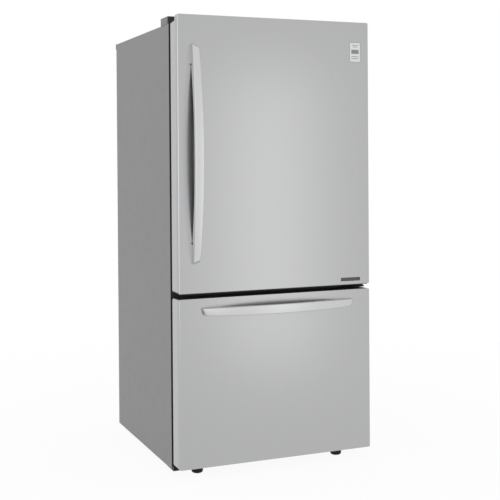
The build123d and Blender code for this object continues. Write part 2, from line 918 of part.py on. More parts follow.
def shelf_tracks():
    """Three slotted channels up the fridge's back."""
    y = (track_front_y, fridge_back)
    tracks = Part()
    count = int(track_length // slot_pitch)
    for side in (-1, 0, 1):
        x = track_x(side)
        half = track_width / 2
        channel = block(around(x, half), y, track_z)
        channel -= block(around(x, half - track_sheet), (y[0] + track_sheet, y[1]), grown(track_z, 1))
        columns = (x,) if side else (x - column_offset, x + column_offset)
        slots = Sketch()
        for column in columns:
            for index in range(count):
                slots += Pos(column, slot_z(index)) * Rectangle(slot_width, slot_height)
        tracks += channel - along_y(slots, (y[0] - 1, y[0] + track_sheet + 1))
    return tracks


def shelf_columns(side):
    """X of the two slot columns that a half-width shelf hangs from."""
    return sorted((side * column_offset, track_x(side)))


def shelf_level(index):
    """Z of the glass's underside on a shelf hung from a slot."""
    return slot_z(index) + bracket_back / 2


def shelf_frame(side, index):
    """Two hooked cantilever brackets, joined by a front trim and a rear bar."""
    columns = shelf_columns(side)
    top = shelf_level(index)
    y = (shelf_front_y + trim_depth, track_front_y - gap)
    tip, low = y[0] - arm_tip, top - bracket_back
    arm = Polygon(
        (tip, top), (tip, top - bracket_front), (y[1] - arm_root_length, low), (y[1], low), (y[1], top),
        align=None,
    )
    hook_y = (y[1] - hook_back_gap, fridge_back - hook_back_gap)
    arm += rectangle(hook_y, around(slot_z(index), hook_height / 2))
    frame = Part()
    for column in columns:
        frame += along_x(arm, around(column, bracket_sheet / 2))
    x = grown(columns, bracket_sheet / 2)
    trim_top = top + glass_thickness + trim_rise
    trim = block(x, (shelf_front_y, y[0]), (trim_top - trim_height, trim_top)) - shelf_plate(side, index)
    bar_end = y[1] - rear_bar_setback
    bar = block(x, (bar_end - rear_bar_depth, bar_end), (top - rear_bar_height, top))
    return frame + trim + bar


def shelf_plate(side, index):
    """Glass of a half-width shelf."""
    top = shelf_level(index)
    x = grown(shelf_columns(side), bracket_sheet / 2)
    y = (shelf_front_y + trim_depth / 2, track_front_y - glass_back_gap)
    return block(x, y, (top, top + glass_thickness))


def shelf_frames():
    """Frames of the four half-width shelves."""
    frames = Part()
    for side, index in shelf_slots:
        frames += shelf_frame(side, index)
    return frames


def cover_plate_space():
    """Space of the crisper cover's glass."""
    lip = cover_shelf_border - glass_lap
    x = centred(inner_x - lip)
    y = (shelf_front_y + lip, shelf_front_y + cover_shelf_depth - lip)
    top = cover_shelf_z + cover_shelf_height
    return block(x, y, (top - glass_thickness, top))


def shelf_glass():
    """Glass plates of the shelves and of the crisper cover."""
    plates = Part() + cover_plate_space()
    for side, index in shelf_slots:
        plates += shelf_plate(side, index)
    return plates


def slider_slot_x(side):
    """X limits of the slot that a humidity slider runs in."""
    half = (slider_travel + slider_width) / 2 + gap
    return around(side * slider_offset, half)


def slider_z():
    """Z of the humidity sliders."""
    return cover_shelf_z - slider_drop


def crisper_shelf():
    """Frame over the crispers: border for the glass, front trim with slots, centre rail."""
    x = centred(inner_x - gap)
    y = (shelf_front_y, shelf_front_y + cover_shelf_depth)
    z = (cover_shelf_z, cover_shelf_z + cover_shelf_height)
    frame = block(x, y, z)
    window = block(grown(x, -cover_shelf_border), grown(y, -cover_shelf_border), grown(z, 1))
    frame -= window
    frame -= cover_plate_space()
    trim_x = centred(inner_x - ledge_width - gap)
    trim_y = (shelf_front_y, shelf_front_y + cover_trim_sheet)
    frame += block(trim_x, trim_y, (z[1] - cover_trim_height, z[1]))
    for side in (-1, 1):
        frame -= block(slider_slot_x(side), grown(trim_y, 1), around(slider_z(), slider_slot_height / 2))
    web_y = (trim_y[1], y[1])
    frame += block(centred(centre_web / 2), web_y, (crisper_rail_z - ledge_height, z[0] + 1))
    foot_z = (crisper_rail_z - ledge_height, crisper_rail_z)
    return frame + block(centred(centre_foot / 2), (crisper_rail_y(), y[1]), foot_z)


def crisper_x():
    """X limits of the right crisper's flange."""
    return (centre_web / 2 + crisper_side_gap, inner_x - crisper_side_gap)


def crisper_section(x, z, corner):
    """Outline of a crisper's tub from the front: drafted sides and rounded lower edges."""
    low = grown(x, -crisper_draft)
    outline = Polygon((low[0], z[0]), (low[1], z[0]), (x[1], z[1]), (x[0], z[1]), align=None)
    return fillet(outline.vertices().group_by(Axis.Y)[0], corner)


def crisper(side):
    """Clear crisper: drafted tub, running flanges, and a taller front with a grip lip."""
    x = crisper_x()
    front = shelf_front_y + crisper_setback
    y = (front, front + crisper_depth)
    floor = fridge_floor + crisper_floor_gap
    flange_z = (crisper_rail_z + gap, crisper_rail_z + gap + crisper_flange_thickness)
    body_x = grown(x, -crisper_flange)
    outside = crisper_section(body_x, (floor, flange_z[1]), crisper_corner)
    inside = crisper_section(
        grown(body_x, -crisper_wall), (floor + crisper_wall, flange_z[1]), crisper_corner - crisper_wall
    )
    drawer = along_y(outside, y) - along_y(inside, (y[0] + crisper_front_thickness, y[1] - crisper_wall))
    for strip_x in ((x[0], body_x[0] + 1), (body_x[1] - 1, x[1])):
        drawer += block(strip_x, (y[0] + crisper_front_thickness, y[1]), flange_z)
    panel_z = (floor, floor + crisper_front_height)
    panel = block(grown(x, -1), (y[0], y[0] + crisper_front_thickness), panel_z)
    drawer += chamfer(panel.edges().filter_by(Axis.Y), crisper_front_chamfer)
    root, tip = panel_z[1] - grip_root_drop, panel_z[1] - grip_tip_drop
    grip = Polygon(
        (y[0] + 1, root), (y[0] - grip_reach, tip), (y[0] - grip_reach, tip - grip_tip_height),
        (y[0] + 1, root - grip_root_height), align=None,
    )
    drawer += along_x(grip, around(limits_middle(x), grip_half_width))
    return drawer if side > 0 else mirror(drawer, about=Plane.YZ)


def humidity_slider(side):
    """Slider with a ribbed knob, a neck through the trim and a retaining plate."""
    slot = slider_slot_x(side)
    x = (slot[0] + gap, slot[0] + gap + slider_width)
    z = around(slider_z(), slider_slot_height / 2 - gap)
    trim_y = (shelf_front_y, shelf_front_y + cover_trim_sheet)
    neck = block(x, grown(trim_y, neck_reach), z)
    knob = block(x, (trim_y[0] - knob_reach, trim_y[0] - gap), grown(z, knob_rise))
    knob = chamfer(knob.edges().filter_by(Axis.Y), knob_chamfer)
    plate_y = (trim_y[1] + gap, trim_y[1] + gap + retainer_sheet)
    return neck + knob + block(grown(x, retainer_lap), plate_y, grown(z, knob_rise))


def panel_y():
    """Y limits of the ceiling panel."""
    return (shelf_front_y, shelf_front_y + panel_depth)


def control_panel():
    """Hollow ceiling housing with a sloped front and two button holes below."""
    y = panel_y()
    low = fridge_ceiling - panel_height
    outline = Polygon(
        (y[0], fridge_ceiling), (y[0], fridge_ceiling - panel_nose), (y[0] + panel_slope, low),
        (y[1], low), (y[1], fridge_ceiling), align=None,
    )
    hollow = Polygon(
        (y[0] + panel_wall, fridge_ceiling), (y[0] + panel_wall, fridge_ceiling - panel_nose),
        (y[0] + panel_slope + 1, low + panel_wall), (y[1] - panel_wall, low + panel_wall),
        (y[1] - panel_wall, fridge_ceiling), align=None,
    )
    panel = along_x(outline, centred(panel_half_width))
    panel -= along_x(hollow, centred(panel_half_width - panel_wall))
    for side in (-1, 1):
        hole = disc(side * button_spacing / 2, y[0] + button_setback, button_radius + gap)
        panel -= along_z(hole, (low - 1, low + panel_wall + 1))
    return panel


def panel_button(side):
    """Push button with a retaining flange inside the panel."""
    low = fridge_ceiling - panel_height
    place = Pos(side * button_spacing / 2, panel_y()[0] + button_setback, 0)
    cap = along_z(Circle(button_radius), (low - button_drop, low - button_drop + button_height))
    seat = low + panel_wall + gap
    reach = centred(button_radius + button_flange)
    flange = block(reach, reach, (seat, seat + button_flange_sheet))
    return place * (cap + flange)


def lamp_lens():
    """Clear lamp lens on the ceiling, behind the panel."""
    y = (panel_y()[1], panel_y()[1] + lens_depth)
    lens = block(centred(lens_half_width), y, (fridge_ceiling - lens_height, fridge_ceiling))
    edges = lens.edges().filter_by(lambda edge: edge.center().Z < fridge_ceiling - 1)
    return chamfer(edges, lens_height / 2)


# Doors


def door_envelope(z, inset):
    """Door's outer form, inset on all sides: rounded upright edges and rounded corners."""
    x = centred(half_width - inset)
    y = (face_y + inset, door_back_y)
    plan = rectangle(x, y)
    front = plan.vertices().sort_by(Axis.Y)[:2]
    plan = fillet(front, edge_radius - inset)
    upright = along_z(plan, z)
    elevation = rectangle(x, grown(z, -inset), corner_radius - inset)
    return upright & along_y(elevation, y)


def fridge_step(low):
    """Space over the fridge door's stepped top, behind its front lip, down to a depth."""
    lip_y = face_y + lip_depth
    outline = Polygon(
        (lip_y, step_start_z - low), (door_back_y + 1, step_end_z - low),
        (door_back_y + 1, fridge_door_top + 1), (lip_y, fridge_door_top + 1), align=None,
    )
    return along_x(outline, centred(half_width + 1))


def cap_line():
    """Z of the underside of the fridge door's top cap."""
    return step_end_z - top_cap_height


def end_openings(z):
    """Openings in a folded skin's two ends, which the plastic caps close."""
    x = centred(half_width - corner_radius)
    y = (face_y + door_sheet, door_back_y)
    return block(x, y, around(z[0], 2 * door_sheet)) + block(x, y, around(z[1], 2 * door_sheet))


def fridge_door_skin():
    """Folded steel front with its side returns, raised lip and stepped-down back."""
    inside = door_envelope(fridge_door_z, door_sheet)
    lip_y = face_y + lip_depth
    fold = block(centred(half_width), (lip_y - door_sheet, lip_y), (cap_line(), fridge_door_top))
    skin = door_envelope(fridge_door_z, 0) - fridge_step(0) - (inside - fold)
    low_end = block(centred(half_width), (face_y, door_back_y), around(fridge_door_bottom, corner_radius))
    return skin - (end_openings(fridge_door_z) & low_end)


def freezer_door_skin():
    """Folded steel front of the freezer drawer with its side returns."""
    skin = door_envelope(freezer_door_z, 0) - door_envelope(freezer_door_z, door_sheet)
    return skin - end_openings(freezer_door_z)


def door_core_limits(z):
    """Z limits of a door's foam, between its caps."""
    return (z[0] + cap_height, z[1] - cap_height)


def dike(z, depth, half, width, inset):
    """Pair of upright ridges on a door's inner face, drafted and rounded."""
    y = (door_back_y - inset, door_back_y + depth)
    outline = Polygon(
        (half - width - dike_draft, y[0]), (half, y[0]), (half - dike_draft, y[1]), (half - width, y[1]),
        align=None,
    )
    tip = outline.vertices().sort_by(Axis.Y)[-2:]
    return both_sides(along_z(fillet(tip, dike_round), z))


def cross_dike(z, half, width, inset):
    """Pair of shallow ridges across a door's inner face, at its top and bottom."""
    y = (door_back_y - inset, door_back_y + seal_depth + freezer_dike_reach - inset)
    low = block(centred(half - width / 2), y, (z[0], z[0] + width))
    high = block(centred(half - width / 2), y, (z[1] - width, z[1]))
    return low + high


def fridge_dike_z():
    """Z limits of the fridge door's ridges."""
    return (fridge_door_bottom + dike_margin, fridge_ceiling - dike_end_gap)


def freezer_dike_z():
    """Z limits of the freezer door's ridges."""
    return (freezer_floor + dike_end_gap, freezer_ceiling - dike_end_gap)


def fridge_dikes(inset):
    """The fridge door's ridges, inset by the liner's wall for their foam."""
    z = grown(fridge_dike_z(), -inset)
    half, width = dike_half_width - inset, dike_width - 2 * inset
    return dike(z, dike_depth - inset, half, width, inset) + cross_dike(z, half, width, inset)


def freezer_dikes(inset):
    """The freezer door's ridges, inset by the liner's wall for their foam."""
    z = grown(freezer_dike_z(), -inset)
    half, width = freezer_dike_half - inset, dike_width - 2 * inset
    depth = seal_depth + freezer_dike_reach - inset
    return dike(z, depth, half, width, inset) + cross_dike(z, half, width, inset)


def door_plate(z):
    """Flat part of a door's inner liner."""
    back = block(
        centred(half_width), (door_back_y - door_liner_wall, door_back_y), door_core_limits(z)
    )
    return back & door_envelope(z, door_sheet)


def bin_z(name):
    """Z limits of a door bin."""
    level, height = bin_levels[name]
    low = fridge_door_bottom + level
    return (low, low + height)


def lugs():
    """Lugs on the ridges' inner faces that carry the bins' rims."""
    wall_x = dike_half_width - dike_width - dike_draft
    result = Part()
    for name in bin_levels:
        top = bin_z(name)[1] - bin_rim_height - gap
        for start in (bin_corner, dike_depth - lug_hold):
            y = (door_back_y + start, door_back_y + start + lug_length)
            lug = block((wall_x - lug_height + 1, wall_x + dike_draft), y, (top - lug_height, top))
            result += both_sides(lug)
    return result


def fridge_door_liner():
    """Moulded inner liner of the fridge door, with its ridges and bin lugs."""
    limits = door_core_limits(fridge_door_z)
    plate = door_plate((fridge_door_z[0], cap_line() + cap_height))
    liner = plate & block(centred(half_width), (face_y, door_back_y), (limits[0], cap_line()))
    return (liner + fridge_dikes(0) + lugs()) - fridge_dikes(door_liner_wall)


def freezer_door_liner():
    """Moulded inner liner of the freezer door, with its ridges."""
    return (door_plate(freezer_door_z) + freezer_dikes(0)) - freezer_dikes(door_liner_wall)


def fridge_door_insulation():
    """Foam of the fridge door, with the cores of the ridges and of the front lip."""
    core = block(
        centred(half_width),
        (face_y, door_back_y - door_liner_wall),
        (fridge_door_bottom + cap_height, cap_line()),
    )
    lip = block(
        centred(half_width), (face_y, face_y + lip_depth - door_sheet), (cap_line(), fridge_door_top)
    )
    return ((core + lip) & door_envelope(fridge_door_z, door_sheet)) + fridge_dikes(door_liner_wall)


def freezer_door_insulation():
    """Foam of the freezer door, with the cores of the ridges."""
    core = block(
        centred(half_width), (face_y, door_back_y - door_liner_wall), door_core_limits(freezer_door_z)
    )
    return (core & door_envelope(freezer_door_z, door_sheet)) + freezer_dikes(door_liner_wall)


def gasket(z):
    """Magnetic gasket with mitred corners: foot, neck and bulb, round a door's inner face."""
    x = centred(half_width - gasket_inset)
    widths = (
        (0.0, gasket_width, gasket_foot),
        (gasket_width / 4, gasket_width / 2, gasket_neck),
        (bulb_inset, gasket_width - 2 * bulb_inset, seal_depth - gap - gasket_foot - gasket_neck),
    )
    seal = Part()
    start = door_back_y
    for inset, width, depth in widths:
        outer = rectangle(grown(x, -inset), grown(z, -inset))
        inner = rectangle(grown(x, -inset - width), grown(z, -inset - width))
        seal += along_y(outer - inner, (start, start + depth))
        start += depth
    return seal


def fridge_gasket():
    """Gasket of the fridge door."""
    low = fridge_floor - gasket_lap - gasket_width
    high = fridge_ceiling + gasket_cabinet_lap + gasket_width / 2
    return gasket((low, high))


def freezer_gasket():
    """Gasket of the freezer drawer."""
    z = (freezer_floor + gasket_lap, freezer_ceiling - gasket_lap)
    return gasket(grown(z, gasket_width))


def end_cap(z, low, high, reveal):
    """Plastic cap inside a door's skin, showing beyond its end by a reveal."""
    y = (face_y, door_back_y)
    cap = block(centred(half_width), y, (low, high)) & door_envelope(z, door_sheet)
    shown_x = centred(half_width - corner_radius - 1)
    shown_y = (face_y + 3 * door_sheet, door_back_y - door_sheet)
    end = z[0] if low < limits_middle(z) else z[1]
    shown = block(shown_x, shown_y, (min(end + reveal, low + 1), max(end + reveal, high - 1)))
    return cap + shown


def fridge_door_caps():
    """Plastic end caps of the fridge door, bored for the hinge pins."""
    z = fridge_door_z
    bottom = end_cap(z, z[0] + door_sheet, z[0] + cap_height, -cap_reveal)
    upper = block(
        centred(half_width - door_sheet), (face_y + lip_depth, door_back_y), (cap_line(), fridge_door_top)
    )
    top = upper - fridge_step(0)
    bore_z = (z[0] - cap_reveal - 1, z[1])
    bore = along_z(disc(hinge_x, hinge_y, pin_radius + pin_clearance), bore_z)
    return (bottom - bore) + (top - bore)


def freezer_door_caps():
    """Plastic end caps of the freezer door."""
    z = freezer_door_z
    low = end_cap(z, z[0] + door_sheet, z[0] + cap_height, 0)
    return low + end_cap(z, z[1] - cap_height, z[1] - door_sheet, 0)


def handle(length):
    """Bowed handle standing along Z from 0 to length, its back on the plane y = 0."""
    half = length / 2
    outline = make_face([
        ThreePointArc((0, -handle_end_stand), (half, -handle_projection), (length, -handle_end_stand)),
        Polyline((length, -handle_end_stand), (length, 0), (length - handle_foot_length, 0)),
        ThreePointArc(
            (length - handle_foot_length, 0),
            (half, handle_thickness - handle_projection),
            (handle_foot_length, 0),
        ),
        Polyline((handle_foot_length, 0), (0, 0), (0, -handle_end_stand)),
    ])
    side = Plane(origin=(0, 0, 0), x_dir=(0, 0, 1), z_dir=(1, 0, 0))
    bar = extrude(side * mirror(outline, about=Plane.XZ), handle_middle_width / 2, both=True)
    end, middle = handle_end_width / 2, handle_middle_width / 2
    front = make_face([
        ThreePointArc((end, 0), (middle, half), (end, length)),
        Line((end, length), (-end, length)),
        ThreePointArc((-end, length), (-middle, half), (-end, 0)),
        Line((-end, 0), (end, 0)),
    ])
    bar &= extrude(Plane.XZ * front, handle_projection + 1)
    long_edges = bar.edges().filter_by(lambda edge: edge.length > length * 0.9)
    outermost = long_edges.sort_by(lambda edge: edge.center().Y)[:2]
    return chamfer(outermost, handle_bevel)


def fridge_handle():
    """Upright handle on the fridge door's left."""
    length = fridge_door_height - 2 * fridge_handle_margin
    x = fridge_handle_inset - half_width
    return Pos(x, face_y, fridge_door_bottom + fridge_handle_margin) * handle(length)


def freezer_handle():
    """Level handle near the freezer door's top."""
    length = cabinet_width - freezer_handle_left - freezer_handle_right
    x = freezer_handle_left - half_width
    return Pos(x, face_y, freezer_door_top - freezer_handle_drop) * Rot(0, 90, 0) * handle(length)


# Hinges


def tongue_length():
    """Length of the leaning tongue, from the pin to inside the cover's body."""
    lean = radians(door_opening - 90)
    reach = front_y + cover_setback + cover_rounding + 1 - hinge_y
    return (reach + tongue_radius * sin(lean)) / cos(lean)


def leaning_strip(half, length):
    """Round-ended strip from the pin, leaning so that it clears the open door's front lip."""
    strip = Circle(half) + rectangle(centred(half), (0, length))
    return Pos(hinge_x, hinge_y) * Rot(0, 0, door_opening - 90) * strip


def top_hinge():
    """Steel hinge plate on the cabinet's top with its arm and pin over the fridge door."""
    x = grown((half_width - cover_width, half_width), -hinge_plate_inset)
    plate_z = (cabinet_top, cabinet_top + hinge_plate)
    arm_z = (plate_z[1], plate_z[1] + hinge_plate)
    start = front_y + cover_setback
    y = (start + hinge_plate_front, start + cover_length - hinge_plate_back)
    plate = along_z(rectangle(x, y, hinge_plate_corner), plate_z)
    arm = leaning_strip(tongue_radius - cover_wall - hinge_arm_clearance, tongue_length() + hinge_arm_root)
    pin_z = (cap_line() + 1, arm_z[0] + 1)
    return plate + along_z(arm, arm_z) + along_z(disc(hinge_x, hinge_y, pin_radius), pin_z)


def cover_body(inset, low, high):
    """Body of a hinge cover, inset by its wall for its hollow."""
    x = (half_width - cover_width + inset, half_width - inset)
    y = (front_y + cover_setback + inset, front_y + cover_setback + cover_length - inset)
    return along_z(rectangle(x, y, cover_rounding - inset), (low, high))


def tongue(inset, low, high):
    """Part of the right hinge cover that reaches over the hinge's arm."""
    return along_z(leaning_strip(tongue_radius - inset, tongue_length()), (low, high))


def hinge_covers():
    """Moulded covers on the top's front corners: the right one over the hinge, the left one blank."""
    z = (cabinet_top, cabinet_top + cover_height)
    tongue_z = (cabinet_top + hinge_plate - 1, z[1] - tongue_drop)
    hollow = cover_body(cover_wall, z[0], z[1] - cover_wall)
    hollow += tongue(cover_wall, z[0], tongue_z[1] - cover_wall)
    working = cover_body(0, *z) + tongue(0, *tongue_z) - hollow
    return working + mirror(cover_body(0, *z), about=Plane.YZ)


def middle_hinge():
    """Steel bracket on the centre rail with its arm, washer and pin under the fridge door."""
    arm_z = (freezer_door_top + middle_arm_lift, freezer_door_top + middle_arm_lift + hinge_plate)
    x = (hinge_x + middle_arm_end - middle_arm_width - middle_arm_flare, hinge_x + middle_arm_end)
    arm = rectangle((hinge_x - middle_arm_end, x[1]), (hinge_y, front_y))
    arm += disc(hinge_x, hinge_y, middle_arm_end)
    arm += rectangle(x, (front_y - middle_arm_flare, front_y))
    plate_z = grown((freezer_ceiling, fridge_floor), -gasket_width - middle_plate_margin)
    plate = block((x[0], x[1] + middle_plate_reach), (front_y - hinge_plate, front_y), plate_z)
    washer_z = (arm_z[1], fridge_door_bottom - cap_reveal - gap)
    washer = along_z(disc(hinge_x, hinge_y, washer_radius), washer_z)
    pin_z = (arm_z[1], fridge_door_bottom + cap_height - 1)
    pin = along_z(disc(hinge_x, hinge_y, pin_radius), pin_z)
    return along_z(arm, arm_z) + plate + washer + pin


# Door bins and dairy box


def door_bin(name):
    """Clear door bin whose rim rests on the lugs."""
    z = bin_z(name)
    x = centred(bin_half_width)
    y = (bin_back_y, bin_front_y)
    body = tub(x, y, z, bin_wall, bin_draft, bin_corner)
    rim = rectangle(grown(x, bin_rim), y, bin_corner)
    rim -= rectangle(grown(x, -1), grown(y, -1), bin_corner - 1)
    return body + along_z(rim, (z[1] - bin_rim_height, z[1]))


def dairy_box():
    """Dairy compartment: closed ends, floor, back, top and a low front lip."""
    x = centred(dike_half_width - dike_width - dike_draft - gap)
    y = (door_back_y, bin_front_y)
    box = along_x(rectangle(y, dairy_z, dairy_corner), x)
    inner_z = grown(dairy_z, -dairy_wall)
    box -= block(grown(x, -dairy_wall), grown(y, -dairy_wall), inner_z)
    opening_z = (dairy_z[0] + dairy_lip, dairy_z[1] + 1)
    mouth_y = (dairy_pivot[0] - dairy_pin_radius - dairy_mouth_gap, y[1] + 1)
    box -= block(grown(x, -dairy_wall), mouth_y, opening_z)
    hole = disc(*dairy_pivot, dairy_pin_radius + pin_clearance)
    return box - along_x(hole, grown(x, 1))


def dairy_cover():
    """Flip-up cover, slightly bowed, with a pin at each end and a finger lip below."""
    x = centred(dike_half_width - dike_width - dike_draft - gap - dairy_wall - gap)
    z = (dairy_z[0] + dairy_lip + gap, dairy_pivot[1] + dairy_cover_rise)
    low_end, high_end = (bin_front_y - dairy_bow_low, z[0]), (bin_front_y - dairy_bow_top, z[1])
    front = (low_end, (bin_front_y, limits_middle(z)), high_end)
    back = [(y - dairy_cover_thickness, level) for y, level in front]
    outline = make_face([
        ThreePointArc(*front), Line(front[2], back[2]), ThreePointArc(*back), Line(back[0], front[0]),
    ])
    cover = along_x(outline, x)
    hub = disc(*dairy_pivot, dairy_pin_radius + dairy_hub_wall)
    cover += along_x(hub, x)
    pin = disc(*dairy_pivot, dairy_pin_radius)
    return cover + along_x(pin, grown(x, gap + dairy_wall))


# Freezer drawer


def channel(x, z, open_side):
    """Right-hand slide member: channel with its web on one side, over the slide's length."""
    inner = grown(z, -slide_sheet)
    body = block(x, slide_y, z)
    if open_side < 0:
        return body - block((x[0] - 1, x[1] - slide_sheet), grown(slide_y, 1), inner)
    return body - block((x[0] + slide_sheet, x[1] + 1), grown(slide_y, 1), inner)


def outer_slide_space():
    """X and Z limits of the right outer slide member."""
    return (inner_x - slide_width, inner_x), (slide_z, slide_z + slide_height)


def middle_slide_space():
    """X and Z limits of the right middle slide member."""
    x, z = outer_slide_space()
    return (x[0], x[1] - slide_sheet - gap), grown(z, -slide_sheet - gap)


def inner_slide_space():
    """X and Z limits of the right inner slide member."""
    x, z = middle_slide_space()
    return (x[0], x[1] - slide_sheet - gap), grown(z, -slide_sheet - gap)


def rack():
    """Right toothed rack: straight-flanked teeth pointing up, one space under the pinion."""
    x = (inner_x - gear_wall_gap - gear_width - 1, inner_x)
    slope = tan(radians(pressure_angle))
    top = rack_pitch_z + gear_addendum - gear_tip_gap
    root = rack_pitch_z - gear_dedendum
    half = gear_pitch / 4 - gear_backlash / 4
    y = (slide_y[0] + rack_setback, shaft_y + pitch_radius)
    body = block(x, y, (root - rack_body, root))
    foot = half + slope * (rack_pitch_z - root)
    tip = half - slope * (top - rack_pitch_z)
    tooth = Polygon((-foot, root - 0.5), (foot, root - 0.5), (tip, top), (-tip, top), align=None)
    count = int((shaft_y - y[0] - gear_pitch) // gear_pitch) + 1
    teeth = Sketch() + [Pos(shaft_y - gear_pitch * (index + 0.5)) * tooth for index in range(count)]
    teeth += Pos(shaft_y + gear_pitch / 2) * tooth
    hanger = block((inner_x - slide_sheet, inner_x), y, (root - rack_body, slide_z))
    return body + along_x(teeth, x) + hanger


def outer_rails():
    """Outer slide members on the liner's walls, each with its toothed rack below."""
    x, z = outer_slide_space()
    return both_sides(channel(x, z, -1) + rack())


def middle_rails():
    """Middle slide members."""
    x, z = middle_slide_space()
    return both_sides(channel(x, z, -1))


def drawer_frame():
    """Drawer frame: inner slide members, side channels, bearing ears and feet on the door."""
    x, z = inner_slide_space()
    side = channel(x, z, 1)
    bar_z = (frame_z, frame_z + frame_height)
    bar_y = (door_back_y, slide_y[1])
    bar_x = (frame_x - frame_flange, frame_x)
    bar = block(bar_x, bar_y, bar_z)
    hollow_x = (bar_x[0] - 1, bar_x[1] - frame_sheet)
    bar -= block(hollow_x, grown(bar_y, 1), grown(bar_z, -frame_sheet))
    notch_x = (bar_x[0] - 1, freezer_dike_half + frame_notch_gap)
    bar -= block(notch_x, (door_back_y - 1, door_back_y + seal_depth + frame_notch_reach), bar_z)
    plate_x = (frame_x - frame_sheet, frame_x)
    ear = disc(shaft_y, shaft_z, bearing_radius)
    ear += rectangle(around(shaft_y, bearing_radius), (shaft_z, bar_z[0] + 1))
    ear -= disc(shaft_y, shaft_z, shaft_radius + pin_clearance)
    foot_y = (door_back_y, door_back_y + frame_sheet)
    foot = block((frame_x - frame_foot, frame_x), foot_y, grown(bar_z, frame_foot_reach))
    return both_sides(side + bar + along_x(ear, plate_x) + foot)


def involute(base, radius):
    """Angle that an involute has turned through at a radius, from the base circle."""
    unrolled = sqrt(max((radius / base) ** 2 - 1, 0))
    return unrolled - atan(unrolled)


def pinion_outline():
    """Involute pinion's outline about its axis, with one tooth pointing along +X."""
    base = pitch_radius * cos(radians(pressure_angle))
    tip = pitch_radius + gear_addendum
    root = pitch_radius - gear_dedendum
    half_tooth = (gear_pitch / 2 - gear_backlash / 2) / (2 * pitch_radius)
    at_pitch = involute(base, pitch_radius)
    steps = 3
    flank = [(root, half_tooth + at_pitch)]
    for step in range(steps):
        radius = base + (tip - base) * step / (steps - 1)
        flank.append((radius, half_tooth + at_pitch - involute(base, radius)))
    points = []
    for index in range(gear_teeth):
        middle = 2 * pi * index / gear_teeth
        for radius, angle in flank:
            points.append((radius * cos(middle - angle), radius * sin(middle - angle)))
        for radius, angle in reversed(flank):
            points.append((radius * cos(middle + angle), radius * sin(middle + angle)))
    return Polygon(*points, align=None)


def synchroniser():
    """Shaft with an involute pinion at each end, rolling on the two racks."""
    x = (inner_x - gear_wall_gap - gear_width, inner_x - gear_wall_gap)
    tooth_down = Pos(shaft_y, shaft_z) * Rot(0, 0, -90) * pinion_outline()
    pinion = along_x(tooth_down, x)
    hub_x = (frame_x + gap, x[0])
    pinion += along_x(disc(shaft_y, shaft_z, shaft_radius + pinion_hub_wall), hub_x)
    shaft = along_x(disc(shaft_y, shaft_z, shaft_radius), centred(x[0]))
    return both_sides(pinion) + shaft


def basket_limits():
    """X and Y limits of the basket's mouth."""
    x = centred(frame_x - frame_flange - basket_side_gap)
    gear_front = shaft_y - pitch_radius - gear_addendum
    return x, (front_y + basket_door_gap, gear_front - basket_gear_gap)


def freezer_basket():
    """Deep basket hung by its rim on the frame, with hand slots in its front."""
    x, y = basket_limits()
    z = (freezer_floor + basket_floor_gap, basket_rim_z + basket_rim_height)
    basket = tub(x, y, z, basket_wall, basket_draft, basket_corner)
    rim_y = grown(y, -basket_corner)
    rim = rectangle(grown(x, basket_rim - basket_rim_gap), rim_y) - rectangle(grown(x, -1), rim_y)
    basket += along_z(rim, (basket_rim_z, basket_rim_z + basket_rim_height))
    slots = Sketch()
    for x in (-hand_slot_offset, hand_slot_offset):
        slots += Pos(x, z[1] - hand_slot_drop) * Rectangle(hand_slot_length, hand_slot_height)
    return basket - along_y(slots, (y[0] - 1, y[0] + hand_slot_depth))


def freezer_tray():
    """Upper tray that slides along the basket's rim."""
    x, y = basket_limits()
    low = basket_rim_z + basket_rim_height + gap
    tray_x = grown(x, basket_rim - tray_side_gap)
    front = y[0] + tray_front_gap
    z = (low, low + tray_height)
    return tub(tray_x, (front, front + tray_length), z, tray_wall, tray_draft, tray_corner)


